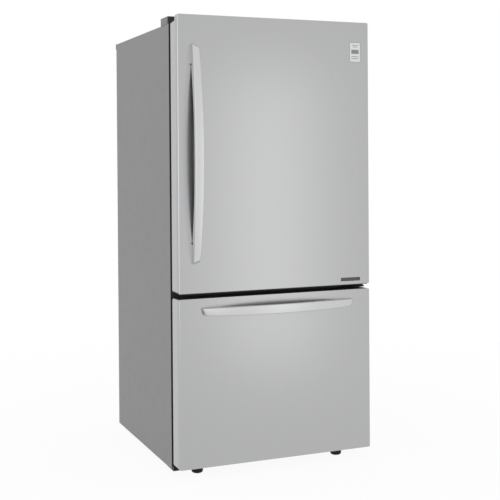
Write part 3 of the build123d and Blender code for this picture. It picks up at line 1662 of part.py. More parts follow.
nodes = {
    "outer_wrap": outer_wrap(),
    "back_panel": back_panel(),
    "back_spacers": back_spacers(),
    "cabinet_insulation": cabinet_insulation(),
    "fridge_liner": fridge_liner(),
    "freezer_liner": freezer_liner(),
    "centre_rail": centre_rail(),
    "base_frame": base_frame(),
    "machine_cover": machine_cover(),
    "compressor": compressor(),
    "condenser": condenser(),
    "fan_shroud": fan_shroud(),
    "drain_pan": drain_pan(),
    "evaporator": evaporator(),
    "evaporator_cover": evaporator_cover(),
    "air_duct": air_duct(),
    "control_panel": control_panel(),
    "lamp_lens": lamp_lens(),
    "shelf_tracks": shelf_tracks(),
    "shelf_glass": shelf_glass(),
    "shelf_frames": shelf_frames(),
    "crisper_shelf": crisper_shelf(),
    "top_hinge": top_hinge(),
    "hinge_covers": hinge_covers(),
    "middle_hinge": middle_hinge(),
    "outer_rails": outer_rails(),
    "condenser_fan": condenser_fan(),
    "evaporator_fan": evaporator_fan(),
    "rear_roller_left": rear_roller(-1),
    "rear_roller_right": rear_roller(1),
    "levelling_foot_left": levelling_foot(foot_places()[0]),
    "levelling_foot_right": levelling_foot(foot_places()[1]),
    "fridge_button": panel_button(-1),
    "freezer_button": panel_button(1),
    "crisper_left": crisper(-1),
    "crisper_right": crisper(1),
    "humidity_slider_left": humidity_slider(-1),
    "humidity_slider_right": humidity_slider(1),
    "fridge_door_skin": fridge_door_skin(),
    "fridge_door_insulation": fridge_door_insulation(),
    "fridge_door_liner": fridge_door_liner(),
    "fridge_door_gasket": fridge_gasket(),
    "fridge_door_caps": fridge_door_caps(),
    "fridge_handle": fridge_handle(),
    "dairy_box": dairy_box(),
    "dairy_cover": dairy_cover(),
    "door_bin_upper": door_bin("upper"),
    "door_bin_middle": door_bin("middle"),
    "door_bin_lower": door_bin("lower"),
    "freezer_door_skin": freezer_door_skin(),
    "freezer_door_insulation": freezer_door_insulation(),
    "freezer_door_liner": freezer_door_liner(),
    "freezer_door_gasket": freezer_gasket(),
    "freezer_door_caps": freezer_door_caps(),
    "freezer_handle": freezer_handle(),
    "drawer_frame": drawer_frame(),
    "freezer_basket": freezer_basket(),
    "freezer_tray": freezer_tray(),
    "middle_rails": middle_rails(),
    "synchroniser": synchroniser(),
}

os.makedirs("parts", exist_ok=True)
for name, shape in nodes.items():
    export_step(shape, f"parts/{name}.step")
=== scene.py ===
"""Studio scene of a bottom freezer refrigerator, in metres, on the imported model's frame."""

from math import cos, pi, radians, sin, sqrt

import bmesh
import bpy
from mathutils import Matrix, Vector

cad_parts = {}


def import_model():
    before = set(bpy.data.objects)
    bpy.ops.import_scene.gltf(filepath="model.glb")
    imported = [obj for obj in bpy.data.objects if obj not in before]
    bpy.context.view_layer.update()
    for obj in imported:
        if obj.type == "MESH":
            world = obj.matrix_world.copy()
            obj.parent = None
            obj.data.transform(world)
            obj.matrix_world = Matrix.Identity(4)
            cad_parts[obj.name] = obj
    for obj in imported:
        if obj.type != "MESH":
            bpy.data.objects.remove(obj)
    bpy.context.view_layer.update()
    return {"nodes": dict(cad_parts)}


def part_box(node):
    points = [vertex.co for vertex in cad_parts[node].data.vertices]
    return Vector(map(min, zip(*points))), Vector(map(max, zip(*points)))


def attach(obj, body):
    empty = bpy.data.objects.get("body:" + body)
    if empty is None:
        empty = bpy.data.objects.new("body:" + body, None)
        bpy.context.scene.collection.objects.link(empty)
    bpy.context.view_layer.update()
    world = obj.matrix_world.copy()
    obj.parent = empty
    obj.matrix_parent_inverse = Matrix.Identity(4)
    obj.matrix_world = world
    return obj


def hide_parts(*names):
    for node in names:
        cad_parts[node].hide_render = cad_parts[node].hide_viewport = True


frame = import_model()
nodes = frame["nodes"]

skin_low, skin_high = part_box("fridge_door_skin")
FACE_Y = skin_low.y  # both doors' faces
WRAP_FRONT_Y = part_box("outer_wrap")[0].y
BACK_Y = 0.446  # outer face of the back panel and the machine cover

# Camera, fitted to the photograph
CAMERA_PLACE = Vector((-1.6469, -4.0014, 1.2345))
CAMERA_YAW = 0.384
CAMERA_PITCH = -0.0096
CAMERA_ROLL = -0.0069
FOCAL_PIXELS = 1001.83
PRINCIPAL = (232.04, 168.18)
IMAGE_SIZE = 500
SENSOR = 36.0


# Materials

WHITE = (1, 1, 1)
# painted shade: near black put on faces that lie in deep shade
SHADE_BLACK = (0.012, 0.012, 0.012)
DOOR_STEEL = (0.457, 0.459, 0.464)
HANDLE_STEEL = (0.60, 0.602, 0.607)
GRAIN_STRETCH = 0.012  # scale of brushed steel's noise along its grain
BLACK_BLEND = 0.0006  # depth over which the painted black shade ends
WRAP_SHADE_START = 0.0002  # how far behind the wrap's front its painted black shade starts to end
# the foam's black front stands in for a steel front rail, in the flange's painted shade
BLACK_ON_FOAM = 0.0016


def times(colour, factor):
    """A colour made lighter or darker."""
    return tuple(min(channel * factor, 1.0) for channel in colour)


class Nodes:
    """Node tree of a material or of the world, with short calls that add to it."""

    def __init__(self, tree):
        self.tree = tree

    def put(self, socket, value):
        """Links a socket to an output, or sets its value."""
        if isinstance(value, bpy.types.NodeSocket):
            self.tree.links.new(value, socket)
        elif socket.type == "RGBA":
            socket.default_value = (*value, 1)
        else:
            socket.default_value = value

    def add(self, kind, inputs=None, **settings):
        """New node with its settings, and with its inputs given by name or number."""
        node = self.tree.nodes.new(kind)
        for key, value in settings.items():
            setattr(node, key, value)
        for key, value in (inputs or {}).items():
            self.put(node.inputs[key], value)
        return node

    def seen_directly(self):
        """Value that is 1 for camera, glossy and transmission rays and 0 for all others."""
        path = self.add("ShaderNodeLightPath")
        share = path.outputs["Is Camera Ray"]
        for ray in ("Is Glossy Ray", "Is Transmission Ray"):
            either = self.add("ShaderNodeMath", {0: share, 1: path.outputs[ray]}, operation="MAXIMUM")
            share = either.outputs[0]
        return share


class Surface(Nodes):
    """One procedural material and the patterns that vary it."""

    def __init__(self, name, colour, roughness, metallic=0.0):
        self.material = bpy.data.materials.new(name)
        self.material.use_nodes = True
        super().__init__(self.material.node_tree)
        self.shader = self.tree.nodes["Principled BSDF"]
        self.shade(Base_Color=colour, Roughness=roughness, Metallic=metallic)
        self.place = self.add("ShaderNodeTexCoord").outputs["Object"]

    def shade(self, **inputs):
        """Sets or links the shader's inputs, whose names are written with underscores for spaces."""
        for key, value in inputs.items():
            self.put(self.shader.inputs[key.replace("_", " ")], value)

    def noise(self, scale, stretch=(1, 1, 1), detail=3.0):
        """Noise value between 0 and 1, on coordinates scaled by a stretch on each axis."""
        mapping = self.add("ShaderNodeMapping", {"Vector": self.place, "Scale": stretch})
        node = self.add(
            "ShaderNodeTexNoise",
            {"Vector": mapping.outputs["Vector"], "Scale": scale, "Detail": detail},
        )
        return node.outputs["Fac"]

    def cells(self, scale):
        """Random value for each cell of a Voronoi pattern."""
        node = self.add("ShaderNodeTexVoronoi", {"Vector": self.place, "Scale": scale})
        return self.add("ShaderNodeSeparateColor", {"Color": node.outputs["Color"]}).outputs["Red"]

    def waves(self, scale, axis):
        """Evenly repeated ribs along an axis."""
        node = self.add(
            "ShaderNodeTexWave", {"Vector": self.place, "Scale": scale}, bands_direction=axis,
        )
        return node.outputs["Fac"]

    def ranged(self, value, low, high, start=0.0, end=1.0):
        """A value moved from start-end to low-high."""
        node = self.add("ShaderNodeMapRange", {
            "Value": value, "From Min": start, "From Max": end, "To Min": low, "To Max": high,
        })
        return node.outputs["Result"]

    def mixed(self, amount, first, second):
        """Colour between two colours."""
        node = self.add("ShaderNodeMix", data_type="RGBA")
        for index, value in ((0, amount), (6, first), (7, second)):  # sockets of the colour mix
            self.put(node.inputs[index], value)
        return node.outputs[2]

    def edges(self, radius):
        """Value that rises to 1 at the piece's edges."""
        bevel = self.add("ShaderNodeBevel", {"Radius": radius}, samples=4).outputs["Normal"]
        normal = self.add("ShaderNodeNewGeometry").outputs["Normal"]
        likeness = self.add("ShaderNodeVectorMath", {0: bevel, 1: normal}, operation="DOT_PRODUCT")
        return self.ranged(likeness.outputs["Value"], 1.0, 0.0, start=0.72, end=0.99)

    def tinted(self, colour, value, shares, edge_radius, edge_wear_and_highlight):
        """Tone between two shares of a colour, by a value, that changes to a third at the edges."""
        tone = self.mixed(value, times(colour, shares[0]), times(colour, shares[1]))
        # Paler edges: partly wear, partly a painted highlight where edges would catch light.
        return self.mixed(self.edges(edge_radius), tone, times(colour, edge_wear_and_highlight))

    def y_of(self, vector):
        """A vector's part along Y."""
        return self.add("ShaderNodeSeparateXYZ", {"Vector": vector}).outputs["Y"]

    def black_in_front(self, y, colour):
        """A colour, nearly black as painted shade where the piece lies in front of a depth."""
        behind = self.ranged(self.y_of(self.place), 0.0, 1.0, start=y, end=y + BLACK_BLEND)
        return self.mixed(behind, SHADE_BLACK, colour)

    def black_facing_front(self, colour):
        """A colour, nearly black as painted shade where the piece faces the front."""
        normal = self.add("ShaderNodeTexCoord").outputs["Normal"]
        return self.mixed(self.ranged(self.y_of(normal), 0.0, 1.0, start=-0.5, end=-0.2), SHADE_BLACK, colour)

    def coloured(self, value, dark, light):
        """Base colour that runs between two colours with a value."""
        self.shade(Base_Color=self.mixed(value, dark, light))

    def rough(self, value, low, high):
        """Roughness that runs between two amounts with a value."""
        self.shade(Roughness=self.ranged(value, low, high))

    def bumped(self, height, strength, distance):
        """Bump from a height."""
        bump = self.add(
            "ShaderNodeBump", {"Height": height, "Strength": strength, "Distance": distance},
        )
        self.shade(Normal=bump.outputs["Normal"])

    def overlaid(self, amount, other):
        """Another shader in place of the material's own, by an amount."""
        mix = self.add(
            "ShaderNodeMixShader", {0: amount, 1: self.shader.outputs[0], 2: other.outputs[0]},
        )
        self.put(self.tree.nodes["Material Output"].inputs["Surface"], mix.outputs[0])


def brushed(name, colour, grain, rough=(0.24, 0.34)):
    """Brushed steel with its grain along one axis: 0, 1 or 2."""
    surface = Surface(name, colour, roughness=0.3, metallic=1.0)
    stretch = [1.0, 1.0, 1.0]
    stretch[grain] = GRAIN_STRETCH
    fine = surface.noise(1900, stretch, detail=2.0)
    streaks = surface.mixed(0.35, fine, surface.noise(120, stretch))
    surface.shade(Base_Color=surface.tinted(colour, streaks, (0.965, 1.03), edge_radius=0.0012, edge_wear_and_highlight=1.06))
    surface.rough(streaks, *rough)
    surface.bumped(fine, strength=0.05, distance=0.0002)
    return surface.material


def painted(name, colour, rough=(0.38, 0.5), texture=700, depth=0.12, gloss=0.5, black=None):
    """Baked enamel with a fine orange peel, slight tone changes and paler edges.

    It is painted nearly black as shade in front of a given depth, or where it faces the front.
    """
    surface = Surface(name, colour, roughness=0.45)
    peel = surface.noise(texture, detail=2.0)
    cloud = surface.noise(6, detail=4.0)
    tone = surface.tinted(colour, cloud, (0.96, 1.04), edge_radius=0.0014, edge_wear_and_highlight=1.25)
    # painted shade: near black on faces turned to the front, or in front of a depth
    if black == "facing front":
        tone = surface.black_facing_front(tone)
    elif black is not None:
        tone = surface.black_in_front(black, tone)
    surface.shade(Base_Color=tone, Specular_IOR_Level=gloss)
    surface.rough(surface.noise(40), *rough)
    surface.bumped(peel, depth, distance=0.0004)
    return surface.material


def moulded(name, colour, rough=(0.3, 0.42), texture=900, depth=0.06, gloss=0.5):
    """Moulded plastic: fine grain, faint clouding and paler edges."""
    surface = Surface(name, colour, roughness=0.35)
    cloud = surface.noise(9, detail=4.0)
    tone = surface.tinted(colour, cloud, (0.97, 1.02), edge_radius=0.001, edge_wear_and_highlight=1.1)
    surface.shade(Base_Color=tone, Specular_IOR_Level=gloss)
    surface.rough(surface.noise(70), *rough)
    surface.bumped(surface.noise(texture), depth, distance=0.0003)
    return surface.material


def plated(name, colour, rough=(0.25, 0.42), patch=260):
    """Zinc plated or mill-finished metal with mottled tone."""
    surface = Surface(name, colour, roughness=0.35, metallic=1.0)
    mottle = surface.noise(patch, detail=4.0)
    surface.shade(Base_Color=surface.tinted(colour, mottle, (0.86, 1.1), edge_radius=0.0008, edge_wear_and_highlight=1.25))
    surface.rough(surface.noise(patch * 2), *rough)
    surface.bumped(surface.noise(patch * 4), strength=0.05, distance=0.0003)
    return surface.material


def galvanised(name, colour):
    """Galvanised sheet with its crystal spangle."""
    surface = Surface(name, colour, roughness=0.4, metallic=0.9)
    spangle = surface.cells(170)
    surface.shade(Base_Color=surface.tinted(colour, spangle, (0.93, 1.05), edge_radius=0.001, edge_wear_and_highlight=1.3))
    surface.rough(spangle, 0.36, 0.48)
    surface.bumped(surface.noise(300), strength=0.08, distance=0.0004)
    return surface.material


def clear(name, colour, rough, ior, scratch=0.02):
    """Clear plastic or glass with faint scratches, which lets light through to what is inside."""
    surface = Surface(name, colour, rough)
    marks = surface.noise(350, (1, 0.08, 1), detail=4.0)
    tone = surface.mixed(surface.edges(0.0012), colour, times(colour, 0.86))
    surface.shade(Base_Color=tone, Transmission_Weight=1.0, IOR=ior)
    surface.rough(marks, rough * 0.6, rough * 1.6)
    surface.bumped(marks, scratch, distance=0.0003)
    passing = surface.add("ShaderNodeBsdfTransparent", {"Color": times(colour, 0.95)})
    surface.overlaid(surface.add("ShaderNodeLightPath").outputs["Is Shadow Ray"], passing)
    return surface.material


def gasket_rubber():
    """Soft gasket with its lengthwise ribs."""
    surface = Surface("gasket_rubber", (0.045, 0.045, 0.048), roughness=0.55)
    surface.coloured(surface.noise(30), (0.035, 0.035, 0.038), (0.06, 0.06, 0.063))
    surface.rough(surface.noise(400), 0.45, 0.65)
    surface.bumped(surface.waves(95, "Y"), strength=0.35, distance=0.0012)
    return surface.material


def foam():
    """Cut polyurethane foam with its open cells, nearly black at the cabinet's front, where it stands in for
    a steel front rail in the flange's painted shade.
    """
    surface = Surface("foam", (0.72, 0.62, 0.36), roughness=0.9)
    cells = surface.cells(420)
    cut = surface.mixed(cells, (0.62, 0.52, 0.28), (0.8, 0.7, 0.45))
    # The front face is a stand-in steel front rail, painted black like the flange's painted shade.
    surface.shade(Base_Color=surface.black_in_front(WRAP_FRONT_Y + BLACK_ON_FOAM, cut))
    surface.bumped(cells, strength=0.5, distance=0.001)
    return surface.material


def frosted_lens():
    """Frosted lamp lens with fine prisms across it."""
    surface = Surface("lamp_lens", (0.92, 0.93, 0.93), roughness=0.5)
    surface.shade(Transmission_Weight=0.35)
    prisms = surface.waves(140, "X")
    surface.coloured(surface.noise(18), (0.9, 0.91, 0.92), (0.95, 0.955, 0.96))
    surface.rough(prisms, 0.35, 0.55)
    surface.bumped(prisms, strength=0.3, distance=0.0008)
    return surface.material


looks = (  # maker, name, colour and the maker's other settings
    (brushed, "door_steel", DOOR_STEEL, dict(grain=2)),
    (brushed, "handle_upright", HANDLE_STEEL, dict(grain=2, rough=(0.3, 0.4))),
    (brushed, "handle_level", HANDLE_STEEL, dict(grain=0, rough=(0.3, 0.4))),
    (brushed, "plate_rim", (0.62, 0.62, 0.62), dict(grain=0)),
    # The wrap's front flange is painted near black as shade, for the dark gap behind the doors.
    (painted, "side_paint", (0.235, 0.235, 0.238), dict(black=WRAP_FRONT_Y + WRAP_SHADE_START)),
    # The centre rail is painted near black as the shade of the gap between the doors.
    (painted, "rail_paint", (0.02, 0.02, 0.021), dict()),
    # The hinge covers' faces turned to the front are painted black as shade; their sides keep the grey.
    (painted, "cover_plastic", (0.2, 0.2, 0.202), dict(
        rough=(0.4, 0.5), texture=1100, black="facing front",
    )),
    (painted, "base_paint", (0.012, 0.012, 0.0125), dict(rough=(0.35, 0.5), gloss=0.2)),
    (painted, "enamel", (0.012, 0.012, 0.013), dict(rough=(0.12, 0.22), texture=300, depth=0.05)),
    (galvanised, "spangle", (0.5, 0.51, 0.52), dict()),
    (galvanised, "cover_sheet", (0.36, 0.365, 0.37), dict()),
    (plated, "zinc", (0.62, 0.62, 0.6), dict()),
    (plated, "aluminium", (0.72, 0.73, 0.74), dict(rough=(0.3, 0.45), patch=500)),
    (moulded, "liner", (0.84, 0.85, 0.86), dict(rough=(0.3, 0.38), texture=700, depth=0.012)),
    (moulded, "white_plastic", (0.76, 0.77, 0.78), dict(rough=(0.34, 0.46))),
    (moulded, "grey_plastic", (0.12, 0.12, 0.122), dict(rough=(0.4, 0.52), texture=1400, depth=0.12)),
    (moulded, "panel_grey", (0.45, 0.455, 0.46), dict()),
    (moulded, "dark_plastic", (0.045, 0.045, 0.048), dict(rough=(0.38, 0.5), texture=1400, depth=0.1)),
    (moulded, "black_plastic", (0.009, 0.009, 0.0095), dict(
        rough=(0.36, 0.5), texture=1200, depth=0.1, gloss=0.2,
    )),
    (moulded, "gear_plastic", (0.7, 0.7, 0.64), dict(rough=(0.4, 0.5))),
    (moulded, "plate_face", (0.07, 0.07, 0.073), dict(rough=(0.25, 0.35))),
    (moulded, "label_face", (0.74, 0.745, 0.75), dict(rough=(0.35, 0.45), texture=1500, depth=0.03)),
    (moulded, "label_line", (0.25, 0.25, 0.255), dict(rough=(0.4, 0.5))),
    (clear, "clear_plastic", (0.93, 0.96, 0.98), dict(rough=0.06, ior=1.49)),
    (clear, "shelf_glass", (0.88, 0.96, 0.94), dict(rough=0.02, ior=1.52, scratch=0.01)),
)
finishes = {name: make(name, colour, **values) for make, name, colour, values in looks}
finishes.update(foam=foam(), gasket=gasket_rubber(), lens=frosted_lens())

node_finishes = {
    "door_steel": ("fridge_door_skin", "freezer_door_skin"),
    "side_paint": ("outer_wrap",),
    "rail_paint": ("centre_rail",),
    "base_paint": ("base_frame", "condenser", "middle_hinge"),
    "enamel": ("compressor",),
    "spangle": ("back_panel", "shelf_tracks"),
    "cover_sheet": ("machine_cover",),
    "zinc": ("top_hinge", "outer_rails", "middle_rails", "drawer_frame"),
    "aluminium": ("evaporator",),
    "foam": ("cabinet_insulation", "fridge_door_insulation", "freezer_door_insulation"),
    "liner": ("fridge_liner", "freezer_liner", "fridge_door_liner", "freezer_door_liner"),
    "white_plastic": (
        "evaporator_cover", "air_duct", "control_panel", "shelf_frames", "crisper_shelf",
        "evaporator_fan", "freezer_basket",
    ),
    "cover_plastic": ("hinge_covers",),
    "grey_plastic": ("fan_shroud", "drain_pan"),
    "panel_grey": ("fridge_button", "freezer_button", "humidity_slider_left", "humidity_slider_right"),
    "dark_plastic": ("fridge_door_caps", "freezer_door_caps"),
    "black_plastic": (
        "back_spacers", "condenser_fan", "levelling_foot_left", "levelling_foot_right",
        "rear_roller_left", "rear_roller_right",
    ),
    "gear_plastic": ("synchroniser",),
    "gasket": ("fridge_door_gasket", "freezer_door_gasket"),
    "clear_plastic": (
        "crisper_left", "crisper_right", "door_bin_upper", "door_bin_middle", "door_bin_lower",
        "dairy_box", "dairy_cover", "freezer_tray",
    ),
    "shelf_glass": ("shelf_glass",),
    "lens": ("lamp_lens",),
    "handle_upright": ("fridge_handle",),
    "handle_level": ("freezer_handle",),
}
for finish, names in node_finishes.items():
    for name in names:
        nodes[name].data.materials.clear()
        nodes[name].data.materials.append(finishes[finish])


# Mesh pieces

SHARP_ANGLE = radians(35)
RING_SEGMENTS = 48
PLATE_CORNER_STEPS = 6


def placed(name, data):
    """New object in the scene."""
    made = bpy.data.objects.new(name, data)
    bpy.context.scene.collection.objects.link(made)
    return made


def meshed(name, builder):
    """New object in the scene from a bmesh, which it frees."""
    mesh = bpy.data.meshes.new(name)
    builder.to_mesh(mesh)
    builder.free()
    return placed(name, mesh)


def piece(name, builder, finish, body):
    """New object from a bmesh, with smooth shading, a finish and the body that it rides on."""
    bmesh.ops.recalc_face_normals(builder, faces=builder.faces)
    made = meshed(name, builder)
    made.data.materials.append(finishes[finish])
    made.data.shade_smooth()
    made.data.set_sharp_from_angle(angle=SHARP_ANGLE)
    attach(made, body)
    return made


def middle(name):
    """Middle of a node's box."""
    return [(low + high) / 2 for low, high in zip(*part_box(name))]


def facing(direction):
    """Rotation that turns +Z to a direction."""
    return Vector((0, 0, 1)).rotation_difference(Vector(direction)).to_matrix().to_4x4()


def rings_to_faces(builder, rings):
    """Closed skin of faces over a row of rings of points."""
    rows = [[builder.verts.new(point) for point in ring] for ring in rings]
    count = len(rows[0])
    for low, high in zip(rows, rows[1:]):
        for index in range(count):
            after = (index + 1) % count
            builder.faces.new((low[index], low[after], high[after], high[index]))
    builder.faces.new(rows[0])
    builder.faces.new(rows[-1])


def turned(profile, place, angle):
    """Points of a profile of (radius, height), at an angle about a placed Z axis."""
    return [
        place @ Vector((radius * cos(angle), radius * sin(angle), height)) for radius, height in profile
    ]


def lathe(builder, profile, place, count):
    """Turned solid from an open profile, its ends closed flat."""
    angles = [2 * pi * index / count for index in range(count)]
    columns = [turned(profile, place, angle) for angle in angles]
    rings_to_faces(builder, [[column[index] for column in columns] for index in range(len(profile))])


def lathe_ring(builder, profile, place):
    """Turned ring from a closed profile."""
    rows = [
        [builder.verts.new(point) for point in turned(profile, place, 2 * pi * index / RING_SEGMENTS)]
        for index in range(RING_SEGMENTS)
    ]
    for row, after in zip(rows, rows[1:] + rows[:1]):
        for low in range(len(profile)):
            high = (low + 1) % len(profile)
            builder.faces.new((row[low], row[high], after[high], after[low]))


def rounded_section(half_width, back, front, front_radius, back_radius, steps):
    """Points of a rounded rectangle across X between two depths, front first."""
    points = []
    corners = (
        (half_width - front_radius, front - front_radius, front_radius, 0),
        (-half_width + front_radius, front - front_radius, front_radius, 90),
        (-half_width + back_radius, back + back_radius, back_radius, 180),
        (half_width - back_radius, back + back_radius, back_radius, 270),
    )
    for x, depth, radius, start in corners:
        for step in range(steps + 1):
            angle = radians(start + 90 * step / steps)
            points.append((x + radius * cos(angle), depth + radius * sin(angle)))
    return points


def outline_plate(name, centre, size, corner, thickness, finish, body, direction=(0, -1, 0)):
    """Thin plate with rounded corners that lies on a face and stands out from it."""
    builder = bmesh.new()
    place = Matrix.Translation(centre) @ facing(direction)
    half_x, half_y = size[0] / 2, size[1] / 2
    rings = []
    for inset, height in ((0.0, 0.0), (0.0, thickness * 0.6), (thickness * 0.4, thickness)):
        low, high = -half_y + inset, half_y - inset
        section = rounded_section(half_x - inset, low, high, corner, corner, PLATE_CORNER_STEPS)
        rings.append([place @ Vector((x, y, height)) for x, y in section])
    rings_to_faces(builder, rings)
    piece(name, builder, finish, body)


# Handles

HANDLE_FOOT = 0.078  # length that lies against the door, at each end
HANDLE_THICKNESS = 0.014  # of the bow between the feet
HANDLE_END_STAND = 0.016  # from the door's face
HANDLE_END_WIDTH = 0.028
HANDLE_MIDDLE_WIDTH = 0.036
HANDLE_FRONT_RADIUS = 0.0035
HANDLE_BACK_RADIUS = 0.0012
HANDLE_END_ROUND = 0.011  # how far the front drops at the very end
HANDLE_END_INSET = 0.002  # how far each side draws in at the very end
HANDLE_SLANT = 0.006  # how far an end slants across the handle
HANDLE_CORNER = 0.007  # how much further its far corner is cut back
HANDLE_SLANT_REACH = 0.06  # length over which the slant fades out
GROOVE_DEPTH = 0.002
GROOVE_SIDES = (-0.2, 0.82)  # as shares of half the handle's width
SECTION_STEPS = 5  # in each rounded corner
END_STATIONS = (0.0, 0.0003, 0.001, 0.002, 0.0035, 0.0055, 0.008, 0.011, 0.015)
MIDDLE_STEPS = 72
SET_SCREW_DEPTH = 0.007  # from the door's face
SET_SCREW_FROM_FOOT = 0.002  # past the foot, towards the handle's middle
SET_SCREW_STAND = 0.0015  # from the handle's side, at its end's width
SET_SCREW = (  # radii and heights of its rim and socket
    (0.0038, -0.001), (0.0038, 0.0004), (0.0026, 0.0004), (0.0021, -0.0008),
)


def arc_depth(position, chord_start, chord_end, start_depth, middle_depth):
    """Depth of a bowed line at a position along it."""
    half = (chord_end - chord_start) / 2
    sag = middle_depth - start_depth
    radius = (half * half + sag * sag) / (2 * sag)
    along = position - (chord_start + chord_end) / 2
    return middle_depth - radius + sqrt(radius * radius - along * along)


def rounded_drop(distance, radius):
    """How far a rounded edge has dropped at a distance from its end."""
    short = max(radius - distance, 0)
    return radius - sqrt(max(radius * radius - short * short, 0))


def grooved_section(half, back, front):
    """Points of a handle's section with the groove in its back, and where the groove's points start."""
    section = rounded_section(half, back, front, HANDLE_FRONT_RADIUS, HANDLE_BACK_RADIUS, SECTION_STEPS)
    start = len(section) // 4 * 3
    low, high = (share * half for share in GROOVE_SIDES)
    bottom = back + GROOVE_DEPTH
    section[start:start] = [(low, back), (low, bottom), (high, bottom), (high, back)]
    return section, start


def bowed_handle(name, length, stand, place, finish, body, node):
    """Bowed handle on two long feet, with rounded edges, slanted ends and a shallow groove in its back that
    is painted black as the shade inside the handle's channel.
    """
    end_length = END_STATIONS[-1]
    between = [
        end_length + (length - 2 * end_length) * step / MIDDLE_STEPS for step in range(1, MIDDLE_STEPS)
    ]
    stations = [*END_STATIONS, *between, *(length - value for value in reversed(END_STATIONS))]
    rings = []
    for position in stations:
        end = min(position, length - position)
        swell = (HANDLE_MIDDLE_WIDTH - HANDLE_END_WIDTH) * sin(pi * position / length)
        half = (HANDLE_END_WIDTH + swell) / 2 - rounded_drop(end, HANDLE_END_INSET)
        front = arc_depth(position, 0, length, HANDLE_END_STAND, stand) - rounded_drop(end, HANDLE_END_ROUND)
        back = 0.0
        if HANDLE_FOOT < position < length - HANDLE_FOOT:
            lifted = arc_depth(position, HANDLE_FOOT, length - HANDLE_FOOT, 0.0, stand - HANDLE_THICKNESS)
            back = max(lifted, 0.0)
        toward_middle = max(1 - end / HANDLE_SLANT_REACH, 0) * (1 if position < length / 2 else -1)
        section, groove = grooved_section(half, back, front)
        ring = []
        for x, depth in section:
            across = (x + half) / (2 * half)
            slant = HANDLE_SLANT * across + HANDLE_CORNER * across**6
            ring.append(place @ Vector((x, -depth, position + slant * toward_middle)))
        rings.append(ring)
    builder = bmesh.new()
    rings_to_faces(builder, rings)
    made = piece(name, builder, finish, body)
    # The groove's faces take black plastic as painted shade, for the shadow inside the handle's channel.
    made.data.materials.append(finishes["black_plastic"])
    for index in range((len(stations) - 1) * len(section)):
        if groove <= index % len(section) <= groove + 2:
            made.data.polygons[index].material_index = 1
    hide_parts(node)


def set_screws(name, places, direction, body):
    """Dark set screws in a handle's side, at its feet."""
    builder = bmesh.new()
    for place in places:
        lathe(builder, SET_SCREW, Matrix.Translation(place) @ facing(direction), 20)
    piece(name, builder, "black_plastic", body)


def handles():
    """Upright handle of the fridge door and level handle of the freezer door, with their set screws."""
    upright_low, upright_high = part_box("fridge_handle")
    x = middle("fridge_handle")[0]
    bowed_handle(
        "fridge_handle_bar", upright_high.z - upright_low.z, FACE_Y - upright_low.y,
        Matrix.Translation((x, FACE_Y, upright_low.z)),
        "handle_upright", "fridge_door", "fridge_handle",
    )
    level_low, level_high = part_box("freezer_handle")
    z = middle("freezer_handle")[2]
    bowed_handle(
        "freezer_handle_bar", level_high.x - level_low.x, FACE_Y - level_low.y,
        Matrix.Translation((level_low.x, FACE_Y, z)) @ Matrix.Rotation(radians(90), 4, "Y"),
        "handle_level", "freezer_drawer", "freezer_handle",
    )
    inward = HANDLE_FOOT + SET_SCREW_FROM_FOOT
    side = HANDLE_END_WIDTH / 2 + SET_SCREW_STAND
    y = FACE_Y - SET_SCREW_DEPTH
    set_screws(
        "fridge_handle_set_screws",
        [(x - side, y, along) for along in (upright_low.z + inward, upright_high.z - inward)],
        (-1, 0, 0), "fridge_door",
    )
    set_screws(
        "freezer_handle_set_screws",
        [(along, y, z - side) for along in (level_low.x + inward, level_high.x - inward)],
        (0, 0, -1), "freezer_drawer",
    )


handles()


# Plain plates on the fridge door

PLATE_X = 0.3255
PLATE_ABOVE_EDGE = 0.0205  # its middle, from the door's lower edge
LABEL_X = 0.3526
LABEL_BELOW_EDGE = 0.122  # its middle, from the door's upper edge
LABEL_LINES = (  # width, height and rise above the label's middle
    (0.03, 0.0026, 0.029), (0.022, 0.0026, 0.022), (0.034, 0.017, 0.002), (0.034, 0.0026, -0.018),
    (0.034, 0.0026, -0.026),
)


def door_plates():
    """Bare dark plate with a light rim at the lower right, and a plain pale label at the upper right."""
    plate_z = skin_low.z + PLATE_ABOVE_EDGE
    label_z = skin_high.z - LABEL_BELOW_EDGE
    plates = [  # name, x, z, lift off the door, size, corner radius, thickness, finish
        ("door_plate_rim", PLATE_X, plate_z, 0.0, (0.093, 0.019), 0.003, 0.0008, "plate_rim"),
        ("door_plate_face", PLATE_X, plate_z, 0.0004, (0.0896, 0.0156), 0.0022, 0.0008, "plate_face"),
        ("label_border", LABEL_X, label_z, 0.0, (0.05, 0.08), 0.006, 0.0002, "label_line"),
        ("label_face", LABEL_X, label_z, 0.0001, (0.0466, 0.0766), 0.0045, 0.0002, "label_face"),
    ]
    for index, (width, height, rise) in enumerate(LABEL_LINES):
        name = f"label_line_{index}"
        plates.append((name, LABEL_X, label_z + rise, 0.0002, (width, height), 0.0012, 0.0002, "label_line"))
    for name, x, z, lift, size, corner, thickness, finish in plates:
        outline_plate(name, (x, FACE_Y - lift, z), size, corner, thickness, finish, "fridge_door")


door_plates()


# Back and ceiling panel

